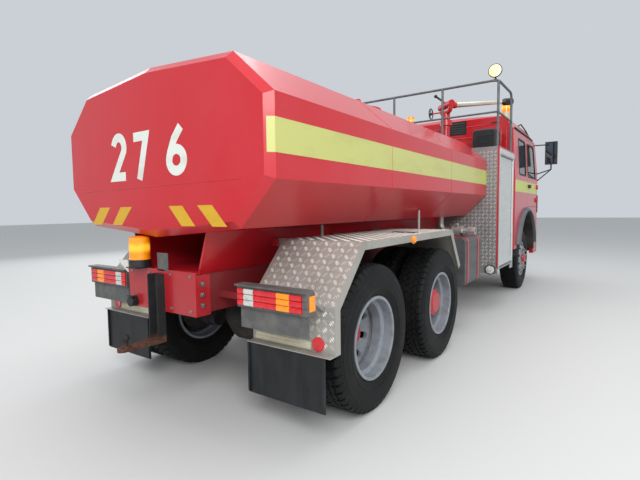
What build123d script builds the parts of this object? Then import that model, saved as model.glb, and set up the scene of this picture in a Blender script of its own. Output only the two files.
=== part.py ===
from build123d import *
from math import cos, radians, sin, sqrt
import os

# Fire service water tanker truck, in millimetres.
# X points forward, Y to the left and Z up. The origin is on the ground under the middle of the whole truck.
# A side is +1 on the left and -1 on the right, and "out" is a distance from the middle plane outwards.

# Driving dimensions
REAR_AXLE_X = -2903
BOGIE_SPACING = 1350
TYRE_RADIUS = 530
TYRE_WIDTH = 296
RIM_RADIUS = 286
RIM_WIDTH = 252
TWIN_INSET = 165
RUNNING_GAP = 0.3
DOOR_GAP = 6

DRIVE_AXLE_X = REAR_AXLE_X + BOGIE_SPACING
BOGIE_X = (REAR_AXLE_X + DRIVE_AXLE_X) / 2
WHEEL_Z = TYRE_RADIUS

# Chassis frame
RAIL_OUT = 372
RAIL_BOTTOM = WHEEL_Z + 240
RAIL_TOP = RAIL_BOTTOM + 260
RAIL_FLANGE = 80
RAIL_WALL = 9
FRAME_REAR_X = REAR_AXLE_X - 895

# Water tank, a ten-sided ridged section
TANK_REAR_X = REAR_AXLE_X - 958
TANK_LENGTH = 4440
TANK_BEVEL = 45
TANK_HALF_WIDTH = 1090
TANK_SHOULDER_OUT = TANK_HALF_WIDTH - 301
TANK_CORNER_OUT = TANK_HALF_WIDTH - 275
TANK_BOTTOM = RAIL_TOP + 244
TANK_CORNER_Z = TANK_BOTTOM + 69
TANK_LOWER_Z = TANK_CORNER_Z + 276
TANK_UPPER_Z = TANK_LOWER_Z + 468
TANK_SHOULDER_Z = TANK_UPPER_Z + 267
TANK_TOP = TANK_SHOULDER_Z + 60
TANK_FRONT_X = TANK_REAR_X + TANK_LENGTH

# Cradle between the frame and the tank
CRADLE_FOOT_OUT = 330
CRADLE_HEAD_OUT = 420
CRADLE_WALL = 14
CRADLE_REAR_X = REAR_AXLE_X - 830

# Equipment cabinet between the tank and the cab
CABINET_REAR_X = TANK_FRONT_X + 20
CABINET_LENGTH = 950
CABINET_OUT = 1245
CABINET_BOTTOM = RAIL_BOTTOM - 150
CABINET_TOP = RAIL_TOP + 1250
CABINET_FRONT_X = CABINET_REAR_X + CABINET_LENGTH

# Cab
CAB_REAR_X = CABINET_FRONT_X + 165
CAB_LENGTH = 2310
CAB_OUT = 1240
CAB_BOTTOM = RAIL_BOTTOM + 10
CAB_FLOOR_Z = CAB_BOTTOM + 710
CAB_BELT_Z = CAB_BOTTOM + 1120
CAB_DRIP_Z = CAB_BOTTOM + 1900
CAB_DRIP_OUT = 1200
CAB_ROOF_EDGE_Z = CAB_BOTTOM + 2110
CAB_ROOF_EDGE_OUT = 1070
CAB_ROOF_TOP = CAB_BOTTOM + 2180
CAB_WALL = 60
CAB_FLOOR_THICKNESS = 60
CAB_FRONT_X = CAB_REAR_X + CAB_LENGTH
FRONT_AXLE_X = CAB_REAR_X + 1033
FRAME_FRONT_X = CAB_FRONT_X - 187
ARCH_RADIUS = TYRE_RADIUS + 260
ARCH_Z = WHEEL_Z + 70
GLASS_THICKNESS = 8
GLASS_DEPTH = 6

# Steering
KINGPIN_OUT = 860
KINGPIN_RADIUS = 22
STEER_ARM_LENGTH = 260
STEER_ARM_OUT = KINGPIN_OUT
AXLE_EYE_RADIUS = 46


def block(x, y, z, mode=Mode.ADD):
    """The box between two limits on each axis."""
    with Locations(((x[0] + x[1]) / 2, (y[0] + y[1]) / 2, (z[0] + z[1]) / 2)):
        Box(x[1] - x[0], y[1] - y[0], z[1] - z[0], mode=mode)


def side_block(side, x, out, z, mode=Mode.ADD):
    """The same on one side of the truck, between two distances from its middle plane."""
    block(x, sorted((side * out[0], side * out[1])), z, mode)


def rod(start, end, radius, mode=Mode.ADD):
    """A round bar from start to end."""
    line = Vector(*end) - Vector(*start)
    with Locations(Plane(origin=start, z_dir=line)):
        Cylinder(radius, line.length, align=(Align.CENTER, Align.CENTER, Align.MIN), mode=mode)


def bent_tube(points, bend, radius):
    """A round tube along straight runs joined by arcs."""
    with BuildPart() as tube:
        with BuildLine() as path:
            FilletPolyline(*points, radius=bend)
        with BuildSketch(Plane(origin=path.line @ 0, z_dir=path.line % 0)):
            Circle(radius)
        sweep()
    return tube.part


def wheel_plane(side, wheel_x):
    """Across the truck through a wheel's axis: sketch x is the distance out and y the radius."""
    return Plane(origin=(wheel_x, 0, WHEEL_Z), x_dir=(0, side, 0), z_dir=(side, 0, 0))


def wheel_axis(wheel_x):
    return Axis((wheel_x, 0, WHEEL_Z), (0, 1, 0))


# Tyres
# One casing, closed by its rim. The tread's fine pattern is left out.

TREAD_HALF = 122
BEAD_HALF = 104
SIDEWALL_RADIUS = 420
SHOULDER_DROP = 14


def tyres(side, wheel_x, centres):
    with BuildPart() as casing:
        for centre in centres:
            with BuildSketch(wheel_plane(side, wheel_x)):
                with BuildLine():
                    Polyline(
                        (centre - BEAD_HALF, RIM_RADIUS + RUNNING_GAP),
                        (centre - TYRE_WIDTH / 2, SIDEWALL_RADIUS - 50),
                        (centre - TYRE_WIDTH / 2, SIDEWALL_RADIUS + 30),
                        (centre - TREAD_HALF, TYRE_RADIUS - SHOULDER_DROP),
                        (centre - TREAD_HALF + 20, TYRE_RADIUS),
                        (centre + TREAD_HALF - 20, TYRE_RADIUS),
                        (centre + TREAD_HALF, TYRE_RADIUS - SHOULDER_DROP),
                        (centre + TYRE_WIDTH / 2, SIDEWALL_RADIUS + 30),
                        (centre + TYRE_WIDTH / 2, SIDEWALL_RADIUS - 50),
                        (centre + BEAD_HALF, RIM_RADIUS + RUNNING_GAP),
                        close=True,
                    )
                make_face()
            revolve(axis=wheel_axis(wheel_x))
    return casing.part


# Rims, hubs and drums
# A rim is a barrel with a drop centre and a dished disc with round hand holes. The disc bolts to the hub's
# flange at the mount plane, so twin rims stand back to back on the same plane.

RIM_FLANGE = 13
RIM_WALL = 10
DROP_DEPTH = 26
DISC_THICKNESS = 13
DISC_FOOT_RADIUS = 205
HUB_FLANGE_RADIUS = 168
HAND_HOLE_RADIUS = 27
HAND_HOLES = 10
DRUM_RADIUS = 215
SPINDLE_RADIUS = 45


def rim(side, wheel_x, centre, mount_out):
    """A barrel about its centre and a disc to the mount plane, which lies to one side of the centre."""
    lean = 1 if mount_out > centre else -1
    half = RIM_WIDTH / 2
    with BuildPart() as body:
        with BuildSketch(wheel_plane(side, wheel_x)):
            with BuildLine():
                outer = Polyline(
                    (centre - half, RIM_RADIUS - RIM_WALL + 2),
                    (centre - half, RIM_RADIUS + RIM_FLANGE),
                    (centre - half + 12, RIM_RADIUS + RIM_FLANGE),
                    (centre - half + 16, RIM_RADIUS),
                    (centre - 48, RIM_RADIUS),
                    (centre - 32, RIM_RADIUS - DROP_DEPTH),
                    (centre + 32, RIM_RADIUS - DROP_DEPTH),
                    (centre + 48, RIM_RADIUS),
                    (centre + half - 16, RIM_RADIUS),
                    (centre + half - 12, RIM_RADIUS + RIM_FLANGE),
                    (centre + half, RIM_RADIUS + RIM_FLANGE),
                    (centre + half, RIM_RADIUS - RIM_WALL + 2),
                )
                Polyline(
                    outer @ 1,
                    (centre + half - 8, RIM_RADIUS - RIM_WALL),
                    (centre + 52, RIM_RADIUS - RIM_WALL),
                    (centre + 36, RIM_RADIUS - DROP_DEPTH - RIM_WALL),
                    (centre - 36, RIM_RADIUS - DROP_DEPTH - RIM_WALL),
                    (centre - 52, RIM_RADIUS - RIM_WALL),
                    (centre - half + 8, RIM_RADIUS - RIM_WALL),
                    outer @ 0,
                )
            make_face()
        revolve(axis=wheel_axis(wheel_x))
        edge = centre + lean * (half - 22)
        face = mount_out - lean * DISC_THICKNESS
        with BuildSketch(wheel_plane(side, wheel_x)):
            with BuildLine():
                Polyline(
                    (edge, RIM_RADIUS - RIM_WALL + 1),
                    (mount_out - lean * 4, DISC_FOOT_RADIUS + 8),
                    (mount_out, DISC_FOOT_RADIUS),
                    (mount_out, DRUM_RADIUS * 0.5),
                    (face, DRUM_RADIUS * 0.5),
                    (face, DISC_FOOT_RADIUS - 4),
                    (edge - lean * 2 * DISC_THICKNESS, RIM_RADIUS - RIM_WALL + 1),
                    close=True,
                )
            make_face()
        revolve(axis=wheel_axis(wheel_x))
        hole_plane = Plane(origin=(wheel_x, side * mount_out, WHEEL_Z), z_dir=(0, 1, 0))
        with BuildSketch(hole_plane):
            with PolarLocations((DISC_FOOT_RADIUS + RIM_RADIUS - RIM_WALL) / 2, HAND_HOLES):
                Circle(HAND_HOLE_RADIUS)
        extrude(amount=RIM_WIDTH / 2, both=True, mode=Mode.SUBTRACT)
    return body.part


def hub(side, wheel_x, drum, mount_out, cap, bore_radius):
    """Drum, hub flange and cap in one turning, with a blind bore for the spindle.
    drum and cap are (inner end, outer end, radius), as distances out; the bore starts at the drum's inner end."""
    cap_start, cap_end, cap_radius = cap
    with BuildPart() as body:
        with BuildSketch(wheel_plane(side, wheel_x)):
            with BuildLine():
                Polyline(
                    (drum[0], bore_radius),
                    (drum[0], drum[2]),
                    (drum[1], drum[2]),
                    (drum[1], HUB_FLANGE_RADIUS),
                    (mount_out, HUB_FLANGE_RADIUS),
                    (mount_out, cap_radius + 20),
                    (cap_start, cap_radius + 20),
                    (cap_start, cap_radius),
                    (cap_end - 25, cap_radius),
                    (cap_end, cap_radius * 0.7),
                    (cap_end, 0),
                    (cap_end - 40, 0),
                    (cap_end - 40, bore_radius),
                    close=True,
                )
            make_face()
        revolve(axis=wheel_axis(wheel_x))
    return body.part


REAR_OUTER_OUT = 1084
REAR_MOUNT_OUT = REAR_OUTER_OUT - TWIN_INSET
REAR_INNER_OUT = REAR_MOUNT_OUT - TWIN_INSET
FRONT_CENTRE_OUT = 1045
FRONT_MOUNT_OUT = FRONT_CENTRE_OUT + 150
SPINDLE_BORE = SPINDLE_RADIUS + RUNNING_GAP

# The last two columns are where each rear hub's cap ends and its radius.
REAR_WHEELS = [
    ("rear", REAR_AXLE_X, 1040, 105),
    ("drive", DRIVE_AXLE_X, 1165, 130),
]
SIDES = [("left", 1), ("right", -1)]
REAR_DRUM = (700, REAR_MOUNT_OUT - DISC_THICKNESS - 4, DRUM_RADIUS)
FRONT_DRUM = (965, FRONT_MOUNT_OUT - DISC_THICKNESS - 4, DRUM_RADIUS)

finished = []


def finish(solid, name):
    solid.label = name
    finished.append(solid)


for row_name, row_x, cap_end, cap_radius in REAR_WHEELS:
    for side_name, side in SIDES:
        outer_rim = rim(side, row_x, REAR_OUTER_OUT, REAR_MOUNT_OUT)
        inner_rim = rim(side, row_x, REAR_INNER_OUT, REAR_MOUNT_OUT)
        twin_hub = hub(side, row_x, REAR_DRUM, REAR_MOUNT_OUT, (REAR_MOUNT_OUT + 60, cap_end, cap_radius),
                       SPINDLE_BORE)
        with BuildPart() as rims:
            add(outer_rim)
            add(inner_rim)
            add(twin_hub)
        finish(rims.part, f"{row_name}_rims_{side_name}")
        casings = tyres(side, row_x, (REAR_INNER_OUT, REAR_OUTER_OUT))
        finish(casings, f"{row_name}_tyres_{side_name}")

for side_name, side in SIDES:
    front_rim = rim(side, FRONT_AXLE_X, FRONT_CENTRE_OUT, FRONT_MOUNT_OUT)
    front_hub = hub(side, FRONT_AXLE_X, FRONT_DRUM, FRONT_MOUNT_OUT, (FRONT_MOUNT_OUT + 15, 1236, 75),
                    SPINDLE_BORE)
    with BuildPart() as single_rim:
        add(front_rim)
        add(front_hub)
    finish(single_rim.part, f"front_rim_{side_name}")
    finish(tyres(side, FRONT_AXLE_X, (FRONT_CENTRE_OUT,)), f"front_tyre_{side_name}")

# Front axle and knuckles
# The beam ends in an eye, and each knuckle holds it between two ears on a kingpin.

EYE_BOTTOM = WHEEL_Z - 80
EYE_TOP = WHEEL_Z + 80
EAR_THICKNESS = 30
SPRING_OUT = 430
SPRING_WIDTH = 80
BEAM_HEIGHT = 110

with BuildPart() as front_axle:
    block((FRONT_AXLE_X - 45, FRONT_AXLE_X + 45), (-KINGPIN_OUT + 60, KINGPIN_OUT - 60),
          (WHEEL_Z - 60, WHEEL_Z - 60 + BEAM_HEIGHT))
    for web_y in (1, -1):
        block((FRONT_AXLE_X + web_y * 30 - 16, FRONT_AXLE_X + web_y * 30 + 16),
              (-KINGPIN_OUT + 130, KINGPIN_OUT - 130), (WHEEL_Z - 38, WHEEL_Z + 28), Mode.SUBTRACT)
    for side in (1, -1):
        rod((FRONT_AXLE_X, side * KINGPIN_OUT, EYE_BOTTOM), (FRONT_AXLE_X, side * KINGPIN_OUT, EYE_TOP),
            AXLE_EYE_RADIUS)
        side_block(side, (FRONT_AXLE_X - 40, FRONT_AXLE_X + 40), (KINGPIN_OUT - 80, KINGPIN_OUT - 20),
                   (WHEEL_Z - 60, WHEEL_Z + 50))
        rod((FRONT_AXLE_X, side * KINGPIN_OUT, EYE_BOTTOM), (FRONT_AXLE_X, side * KINGPIN_OUT, EYE_TOP),
            KINGPIN_RADIUS + RUNNING_GAP, Mode.SUBTRACT)
finish(front_axle.part, "front_axle")

ARM_Z = EYE_BOTTOM - RUNNING_GAP - EAR_THICKNESS / 2
ARM_X = FRONT_AXLE_X - STEER_ARM_LENGTH
ROD_PIN_RADIUS = 14
ROD_EYE_HALF = 22
ROD_EYE_RADIUS = 30
ROD_Z = ARM_Z - EAR_THICKNESS / 2 - RUNNING_GAP - ROD_EYE_HALF

for side_name, side in SIDES:
    with BuildPart() as knuckle:
        for ear_low in (EYE_BOTTOM - RUNNING_GAP - EAR_THICKNESS, EYE_TOP + RUNNING_GAP):
            rod((FRONT_AXLE_X, side * KINGPIN_OUT, ear_low),
                (FRONT_AXLE_X, side * KINGPIN_OUT, ear_low + EAR_THICKNESS), AXLE_EYE_RADIUS)
            side_block(side, (FRONT_AXLE_X - 42, FRONT_AXLE_X + 42), (KINGPIN_OUT, KINGPIN_OUT + 78),
                       (ear_low, ear_low + EAR_THICKNESS))
        side_block(side, (FRONT_AXLE_X - 42, FRONT_AXLE_X + 42), (KINGPIN_OUT + 54, KINGPIN_OUT + 78),
                   (EYE_BOTTOM - EAR_THICKNESS, EYE_TOP + EAR_THICKNESS))
        rod((FRONT_AXLE_X, side * KINGPIN_OUT, EYE_BOTTOM - EAR_THICKNESS),
            (FRONT_AXLE_X, side * KINGPIN_OUT, EYE_TOP + EAR_THICKNESS), KINGPIN_RADIUS)
        rod((FRONT_AXLE_X, side * (KINGPIN_OUT + 60), WHEEL_Z),
            (FRONT_AXLE_X, side * 1180, WHEEL_Z), SPINDLE_RADIUS)
        arm_plane = Plane.XY.offset(ARM_Z - EAR_THICKNESS / 2)
        with BuildSketch(arm_plane):
            with BuildLine():
                Polyline(
                    (FRONT_AXLE_X, side * (KINGPIN_OUT + 30)),
                    (FRONT_AXLE_X, side * (KINGPIN_OUT - 30)),
                    (ARM_X, side * (STEER_ARM_OUT - 22)),
                    (ARM_X, side * (STEER_ARM_OUT + 22)),
                    close=True,
                )
            make_face()
            with Locations((ARM_X, side * STEER_ARM_OUT)):
                Circle(28)
        extrude(amount=EAR_THICKNESS)
        rod((ARM_X, side * STEER_ARM_OUT, ROD_Z - ROD_EYE_HALF - 4), (ARM_X, side * STEER_ARM_OUT, ARM_Z),
            ROD_PIN_RADIUS)
    finish(knuckle.part, f"knuckle_{side_name}")

with BuildPart() as track_rod:
    rod((ARM_X, -STEER_ARM_OUT + 24, ROD_Z), (ARM_X, STEER_ARM_OUT - 24, ROD_Z), 15)
    for side in (1, -1):
        rod((ARM_X, side * STEER_ARM_OUT, ROD_Z - ROD_EYE_HALF),
            (ARM_X, side * STEER_ARM_OUT, ROD_Z + ROD_EYE_HALF), ROD_EYE_RADIUS)
        rod((ARM_X, side * STEER_ARM_OUT, ROD_Z - 30), (ARM_X, side * STEER_ARM_OUT, ROD_Z + 30),
            ROD_PIN_RADIUS + RUNNING_GAP, Mode.SUBTRACT)
finish(track_rod.part, "track_rod")

# Driven rear axles
# A casing with a round middle for the gears and a spindle at each end.

CASING_RADIUS = 72
GEAR_RADIUS = 205
NOSE_REACH = 270
NOSE_RISE = 70
NOSE_RADIUS = 75
CHAMBER_SETBACK = 150
CHAMBER_DROP = 20
CHAMBER_RADIUS = 68
CHAMBER_OUTS = (250, 420)
CLAMP_OUTS = (328, 344)

with BuildPart() as rear_axles:
    for row_name, row_x, cap_end, cap_radius in REAR_WHEELS:
        rod((row_x, -REAR_DRUM[0] + 12, WHEEL_Z), (row_x, REAR_DRUM[0] - 12, WHEEL_Z), CASING_RADIUS)
        rod((row_x, -cap_end + 60, WHEEL_Z), (row_x, cap_end - 60, WHEEL_Z), SPINDLE_RADIUS)
        with BuildSketch(Plane.XY.offset(WHEEL_Z)) as gear_case:
            with BuildLine():
                Polyline(
                    (row_x + GEAR_RADIUS, -70),
                    (row_x + GEAR_RADIUS, 70),
                    (row_x + 110, 230),
                    (row_x, 280),
                    (row_x, -280),
                    (row_x + 110, -230),
                    close=True,
                )
            make_face()
        revolve(gear_case.sketch, axis=Axis((row_x, 0, WHEEL_Z), (0, 1, 0)))
        rod((row_x, 0, WHEEL_Z + NOSE_RISE), (row_x + NOSE_REACH, 0, WHEEL_Z + NOSE_RISE), NOSE_RADIUS)
        chamber_x = row_x - CHAMBER_SETBACK
        chamber_z = WHEEL_Z - CHAMBER_DROP
        for side in (1, -1):
            rod((chamber_x, side * CHAMBER_OUTS[0], chamber_z), (chamber_x, side * CHAMBER_OUTS[1], chamber_z),
                CHAMBER_RADIUS)
            rod((chamber_x, side * CLAMP_OUTS[0], chamber_z), (chamber_x, side * CLAMP_OUTS[1], chamber_z),
                CHAMBER_RADIUS + 8)
            side_block(side, (chamber_x, row_x), (CLAMP_OUTS[1] + 10, CHAMBER_OUTS[1] - 10),
                       (chamber_z - 12, chamber_z + 12))
finish(rear_axles.part, "rear_axles")

# Leaf springs
# Each pack is a stack of leaves that share one curve and get shorter away from the longest pair. The front packs
# carry the frame on their ends, and the bogie's packs lie on both axles and carry it in the middle.

SPRING_LEAF = 12
FRONT_SPRING_Z = WHEEL_Z - 60 + BEAM_HEIGHT + RUNNING_GAP
FRONT_SPRING_HALF = 690
FRONT_SPRING_RISE = 95
REAR_SPRING_Z = WHEEL_Z + CASING_RADIUS + RUNNING_GAP
REAR_SPRING_HALF = BOGIE_SPACING / 2
REAR_SPRING_DROP = 75
SHORT_LEAVES = (590, 490, 390, 290, 190)
LEAF_COUNT = len(SHORT_LEAVES) + 2
SPRING_STACK = LEAF_COUNT * SPRING_LEAF
CLAMP_HALF = 64
CLAMP_THICKNESS = 14
BOLT_RADIUS = 9
BOLT_X = 55
BOLT_Y = SPRING_WIDTH / 2 + BOLT_RADIUS + 1


def spring_pack(middle_x, low_z, leaves, sag):
    """Leaves from the lowest up, from their half lengths. sag is the ends' height over the middle's."""
    longest = max(leaves)
    curve = (longest ** 2 + sag ** 2) / (2 * abs(sag))
    with BuildSketch(Plane.XZ) as pack:
        for index, half in enumerate(leaves):
            rise = (curve - sqrt(curve ** 2 - half ** 2)) * (1 if sag > 0 else -1)
            leaf_z = low_z + index * SPRING_LEAF
            with BuildLine():
                low = ThreePointArc((middle_x - half, leaf_z + rise), (middle_x, leaf_z),
                                    (middle_x + half, leaf_z + rise))
                high = ThreePointArc((middle_x - half, leaf_z + rise + SPRING_LEAF),
                                     (middle_x, leaf_z + SPRING_LEAF),
                                     (middle_x + half, leaf_z + rise + SPRING_LEAF))
                Line(low @ 0, high @ 0)
                Line(low @ 1, high @ 1)
            make_face()
    return pack.sketch


FRONT_LEAVES = (*reversed(SHORT_LEAVES), FRONT_SPRING_HALF, FRONT_SPRING_HALF)
REAR_LEAVES = (REAR_SPRING_HALF, REAR_SPRING_HALF, *SHORT_LEAVES)
REAR_PACK_Z = REAR_SPRING_Z + REAR_SPRING_DROP
spring_profiles = [
    spring_pack(FRONT_AXLE_X, FRONT_SPRING_Z, FRONT_LEAVES, FRONT_SPRING_RISE),
    spring_pack(BOGIE_X, REAR_PACK_Z, REAR_LEAVES, -REAR_SPRING_DROP),
]

with BuildPart() as leaf_springs:
    for side in (1, -1):
        for profile in spring_profiles:
            extrude(profile.moved(Location((0, side * SPRING_OUT, 0))), amount=SPRING_WIDTH / 2, both=True)
        side_block(side, (FRONT_AXLE_X - CLAMP_HALF, FRONT_AXLE_X + CLAMP_HALF),
                   (SPRING_OUT - BOLT_Y - BOLT_RADIUS, SPRING_OUT + BOLT_Y + BOLT_RADIUS),
                   (FRONT_SPRING_Z + SPRING_STACK - 1, FRONT_SPRING_Z + SPRING_STACK + CLAMP_THICKNESS))
        side_block(side, (BOGIE_X - CLAMP_HALF, BOGIE_X + CLAMP_HALF),
                   (SPRING_OUT - SPRING_WIDTH / 2, SPRING_OUT + SPRING_WIDTH / 2),
                   (REAR_PACK_Z - CLAMP_THICKNESS, REAR_PACK_Z + 1))
        for bolt_x in (-BOLT_X, BOLT_X):
            for bolt_y in (-BOLT_Y, BOLT_Y):
                rod((FRONT_AXLE_X + bolt_x, side * SPRING_OUT + bolt_y, WHEEL_Z - 60),
                    (FRONT_AXLE_X + bolt_x, side * SPRING_OUT + bolt_y, FRONT_SPRING_Z + SPRING_STACK + 1),
                    BOLT_RADIUS)
finish(leaf_springs.part, "leaf_springs")

# Chassis frame
# Two channel rails, open inwards, with cross members, spring brackets and arms for what hangs beside them.

FRONT_HANGER_Z = FRONT_SPRING_Z + SPRING_STACK + FRONT_SPRING_RISE + RUNNING_GAP
REAR_SADDLE_Z = REAR_PACK_Z + SPRING_STACK + RUNNING_GAP
MEMBER_HALF = 35
MEMBER_WALL = 8
CROSS_MEMBERS = [FRAME_REAR_X + 60, BOGIE_X, DRIVE_AXLE_X + 900, CABINET_REAR_X + 200, FRONT_AXLE_X - 1230,
                 FRAME_FRONT_X - 60]
GUARD_FRONT_X = DRIVE_AXLE_X + 481
FUEL_REAR_X = GUARD_FRONT_X + 359
FUEL_LENGTH = min(640, CABINET_REAR_X - FUEL_REAR_X - 400)
FUEL_INNER_OUT = 500
ARM_INSET = 110
SIDE_ARM_XS = (FUEL_REAR_X + ARM_INSET, FUEL_REAR_X + FUEL_LENGTH - ARM_INSET)
CAB_MOUNT_XS = (CAB_REAR_X + 120, FRAME_FRONT_X - 150)
LAMP_ARM_X = REAR_AXLE_X - 680

with BuildPart() as chassis_frame:
    for side in (1, -1):
        side_block(side, (FRAME_REAR_X, FRAME_FRONT_X), (RAIL_OUT - RAIL_FLANGE, RAIL_OUT), (RAIL_BOTTOM, RAIL_TOP))
        side_block(side, (FRAME_REAR_X - 1, FRAME_FRONT_X + 1), (RAIL_OUT - RAIL_FLANGE - 1, RAIL_OUT - RAIL_WALL),
                   (RAIL_BOTTOM + RAIL_WALL, RAIL_TOP - RAIL_WALL), Mode.SUBTRACT)
    for member_x in CROSS_MEMBERS:
        block((member_x - MEMBER_HALF, member_x + MEMBER_HALF), (-RAIL_OUT + 5, RAIL_OUT - 5),
              (RAIL_BOTTOM + 45, RAIL_TOP - 45))
        block((member_x - MEMBER_HALF + MEMBER_WALL, member_x + MEMBER_HALF + 1),
              (-RAIL_OUT + RAIL_FLANGE, RAIL_OUT - RAIL_FLANGE),
              (RAIL_BOTTOM + 45 + MEMBER_WALL, RAIL_TOP - 45 - MEMBER_WALL), Mode.SUBTRACT)
    for side in (1, -1):
        for hanger_x in (FRONT_AXLE_X - FRONT_SPRING_HALF + 45, FRONT_AXLE_X + FRONT_SPRING_HALF - 45):
            side_block(side, (hanger_x - 45, hanger_x + 45), (RAIL_OUT - 2, SPRING_OUT + SPRING_WIDTH / 2),
                       (FRONT_HANGER_Z, RAIL_BOTTOM + 150))
        side_block(side, (BOGIE_X - 110, BOGIE_X + 110), (RAIL_OUT - 2, SPRING_OUT + SPRING_WIDTH / 2),
                   (REAR_SADDLE_Z, RAIL_TOP - 60))
        side_block(side, (LAMP_ARM_X - 22, LAMP_ARM_X + 22), (RAIL_OUT - 2, 900), (860, 904))
        for arm_x in SIDE_ARM_XS:
            side_block(side, (arm_x - 30, arm_x + 30), (RAIL_OUT - 2, FUEL_INNER_OUT),
                       (RAIL_BOTTOM + 30, RAIL_TOP - 60))
        for mount_x in CAB_MOUNT_XS:
            side_block(side, (mount_x - 40, mount_x + 40), (RAIL_OUT - 70, RAIL_OUT),
                       (RAIL_TOP - 1, CAB_FLOOR_Z - CAB_FLOOR_THICKNESS))
finish(chassis_frame.part, "chassis_frame")

# Rear cross beam, a plate with returns along the rails and a pad under the tow bracket

BEAM_PLATE = 10
BEAM_LOW = RAIL_BOTTOM - 13
BEAM_HIGH = RAIL_TOP + 20
PAD_THICKNESS = 3
PAD_HALF = 60

with BuildPart() as rear_beam:
    block((FRAME_REAR_X - BEAM_PLATE, FRAME_REAR_X), (-RAIL_OUT - 8, RAIL_OUT + 8), (BEAM_LOW, BEAM_HIGH))
    for side in (1, -1):
        side_block(side, (FRAME_REAR_X - 1, FRAME_REAR_X + 110), (RAIL_OUT, RAIL_OUT + 8), (BEAM_LOW, BEAM_HIGH - 20))
    block((FRAME_REAR_X - BEAM_PLATE - PAD_THICKNESS, FRAME_REAR_X - BEAM_PLATE + 1), (-PAD_HALF, PAD_HALF),
          (BEAM_LOW, BEAM_HIGH))
finish(rear_beam.part, "rear_beam")
BEAM_FACE_X = FRAME_REAR_X - BEAM_PLATE - PAD_THICKNESS

# Tow bracket
# An upright channel on the beam, with a tapered tongue and a ball below it.

TOW_HALF = 55
TOW_DEPTH = 60
TOW_TOP = RAIL_TOP - 10
TOW_BOTTOM = RAIL_BOTTOM - 225
TOW_PLATE = 24
TOW_REACH = 263
TONGUE_HALF = 36
BALL_SETBACK = 55
BALL_RADIUS = 25
BALL_STEM = 15

with BuildPart() as tow_bracket:
    block((BEAM_FACE_X - TOW_DEPTH, BEAM_FACE_X), (-TOW_HALF, TOW_HALF), (TOW_BOTTOM, TOW_TOP))
    block((BEAM_FACE_X - TOW_DEPTH - 1, BEAM_FACE_X - 10), (-TOW_HALF + 10, TOW_HALF - 10),
          (TOW_BOTTOM + TOW_PLATE, TOW_TOP + 1), Mode.SUBTRACT)
    tongue_x = BEAM_FACE_X - TOW_DEPTH - TOW_REACH
    ball_x = tongue_x + BALL_SETBACK
    with BuildSketch(Plane.XY.offset(TOW_BOTTOM)) as tongue:
        with BuildLine():
            Polyline(
                (BEAM_FACE_X - TOW_DEPTH + 1, TOW_HALF),
                (ball_x + BALL_SETBACK, TONGUE_HALF),
                (tongue_x, TONGUE_HALF),
                (tongue_x, -TONGUE_HALF),
                (ball_x + BALL_SETBACK, -TONGUE_HALF),
                (BEAM_FACE_X - TOW_DEPTH + 1, -TOW_HALF),
                close=True,
            )
        make_face()
        fillet(tongue.vertices().group_by(Axis.X)[0], TONGUE_HALF - 2)
    extrude(amount=TOW_PLATE)
    rod((ball_x, 0, TOW_BOTTOM + TOW_PLATE - 1), (ball_x, 0, TOW_BOTTOM + TOW_PLATE + 50), BALL_STEM)
    rod((ball_x, 0, TOW_BOTTOM + TOW_PLATE - 1), (ball_x, 0, TOW_BOTTOM + TOW_PLATE + 10), BALL_RADIUS + 5)
    with Locations((ball_x, 0, TOW_BOTTOM + TOW_PLATE + 60)):
        Sphere(BALL_RADIUS)
finish(tow_bracket.part, "tow_bracket")

# Engine, one plain block, and the shafts behind it

ENGINE_REAR_X = FRONT_AXLE_X - 420
ENGINE_LENGTH = 1230
SHAFT_RADIUS = 50

ENGINE_HALF = 260
ENGINE_LOW = RAIL_BOTTOM - 70
GEARBOX_LENGTH = 700
GEARBOX_HALF = 190
FLANGE_RADIUS = 72
FLANGE_THICKNESS = 20
NOSE_Z = WHEEL_Z + NOSE_RISE

with BuildPart() as engine:
    block((ENGINE_REAR_X, ENGINE_REAR_X + ENGINE_LENGTH), (-ENGINE_HALF, ENGINE_HALF),
          (ENGINE_LOW, CAB_FLOOR_Z - CAB_FLOOR_THICKNESS - 40))
    for foot_x in (ENGINE_REAR_X + 120, ENGINE_REAR_X + ENGINE_LENGTH - 200):
        block((foot_x - 60, foot_x + 60), (-RAIL_OUT + RAIL_FLANGE, RAIL_OUT - RAIL_FLANGE),
              (RAIL_BOTTOM, RAIL_TOP))
finish(engine.part, "engine")

with BuildPart() as drive_shafts:
    gearbox_x = ENGINE_REAR_X - GEARBOX_LENGTH
    block((gearbox_x, ENGINE_REAR_X), (-GEARBOX_HALF, GEARBOX_HALF), (ENGINE_LOW, RAIL_TOP - 60))
    main_flange_x = DRIVE_AXLE_X + NOSE_REACH + RUNNING_GAP
    rod((main_flange_x + FLANGE_THICKNESS / 2, 0, NOSE_Z), (gearbox_x + 1, 0, RAIL_BOTTOM - 10), SHAFT_RADIUS)
    link_start_x = REAR_AXLE_X + NOSE_REACH + RUNNING_GAP
    link_end_x = DRIVE_AXLE_X - GEAR_RADIUS - RUNNING_GAP
    rod((link_start_x, 0, NOSE_Z), (link_end_x, 0, NOSE_Z), SHAFT_RADIUS)
    for flange_x in (main_flange_x, link_start_x, link_end_x - FLANGE_THICKNESS):
        rod((flange_x, 0, NOSE_Z), (flange_x + FLANGE_THICKNESS, 0, NOSE_Z), FLANGE_RADIUS)
finish(drive_shafts.part, "drive_shafts")

# Tank cradle, a trough open at its rear end, with lugs for the mudguard bars

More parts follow.
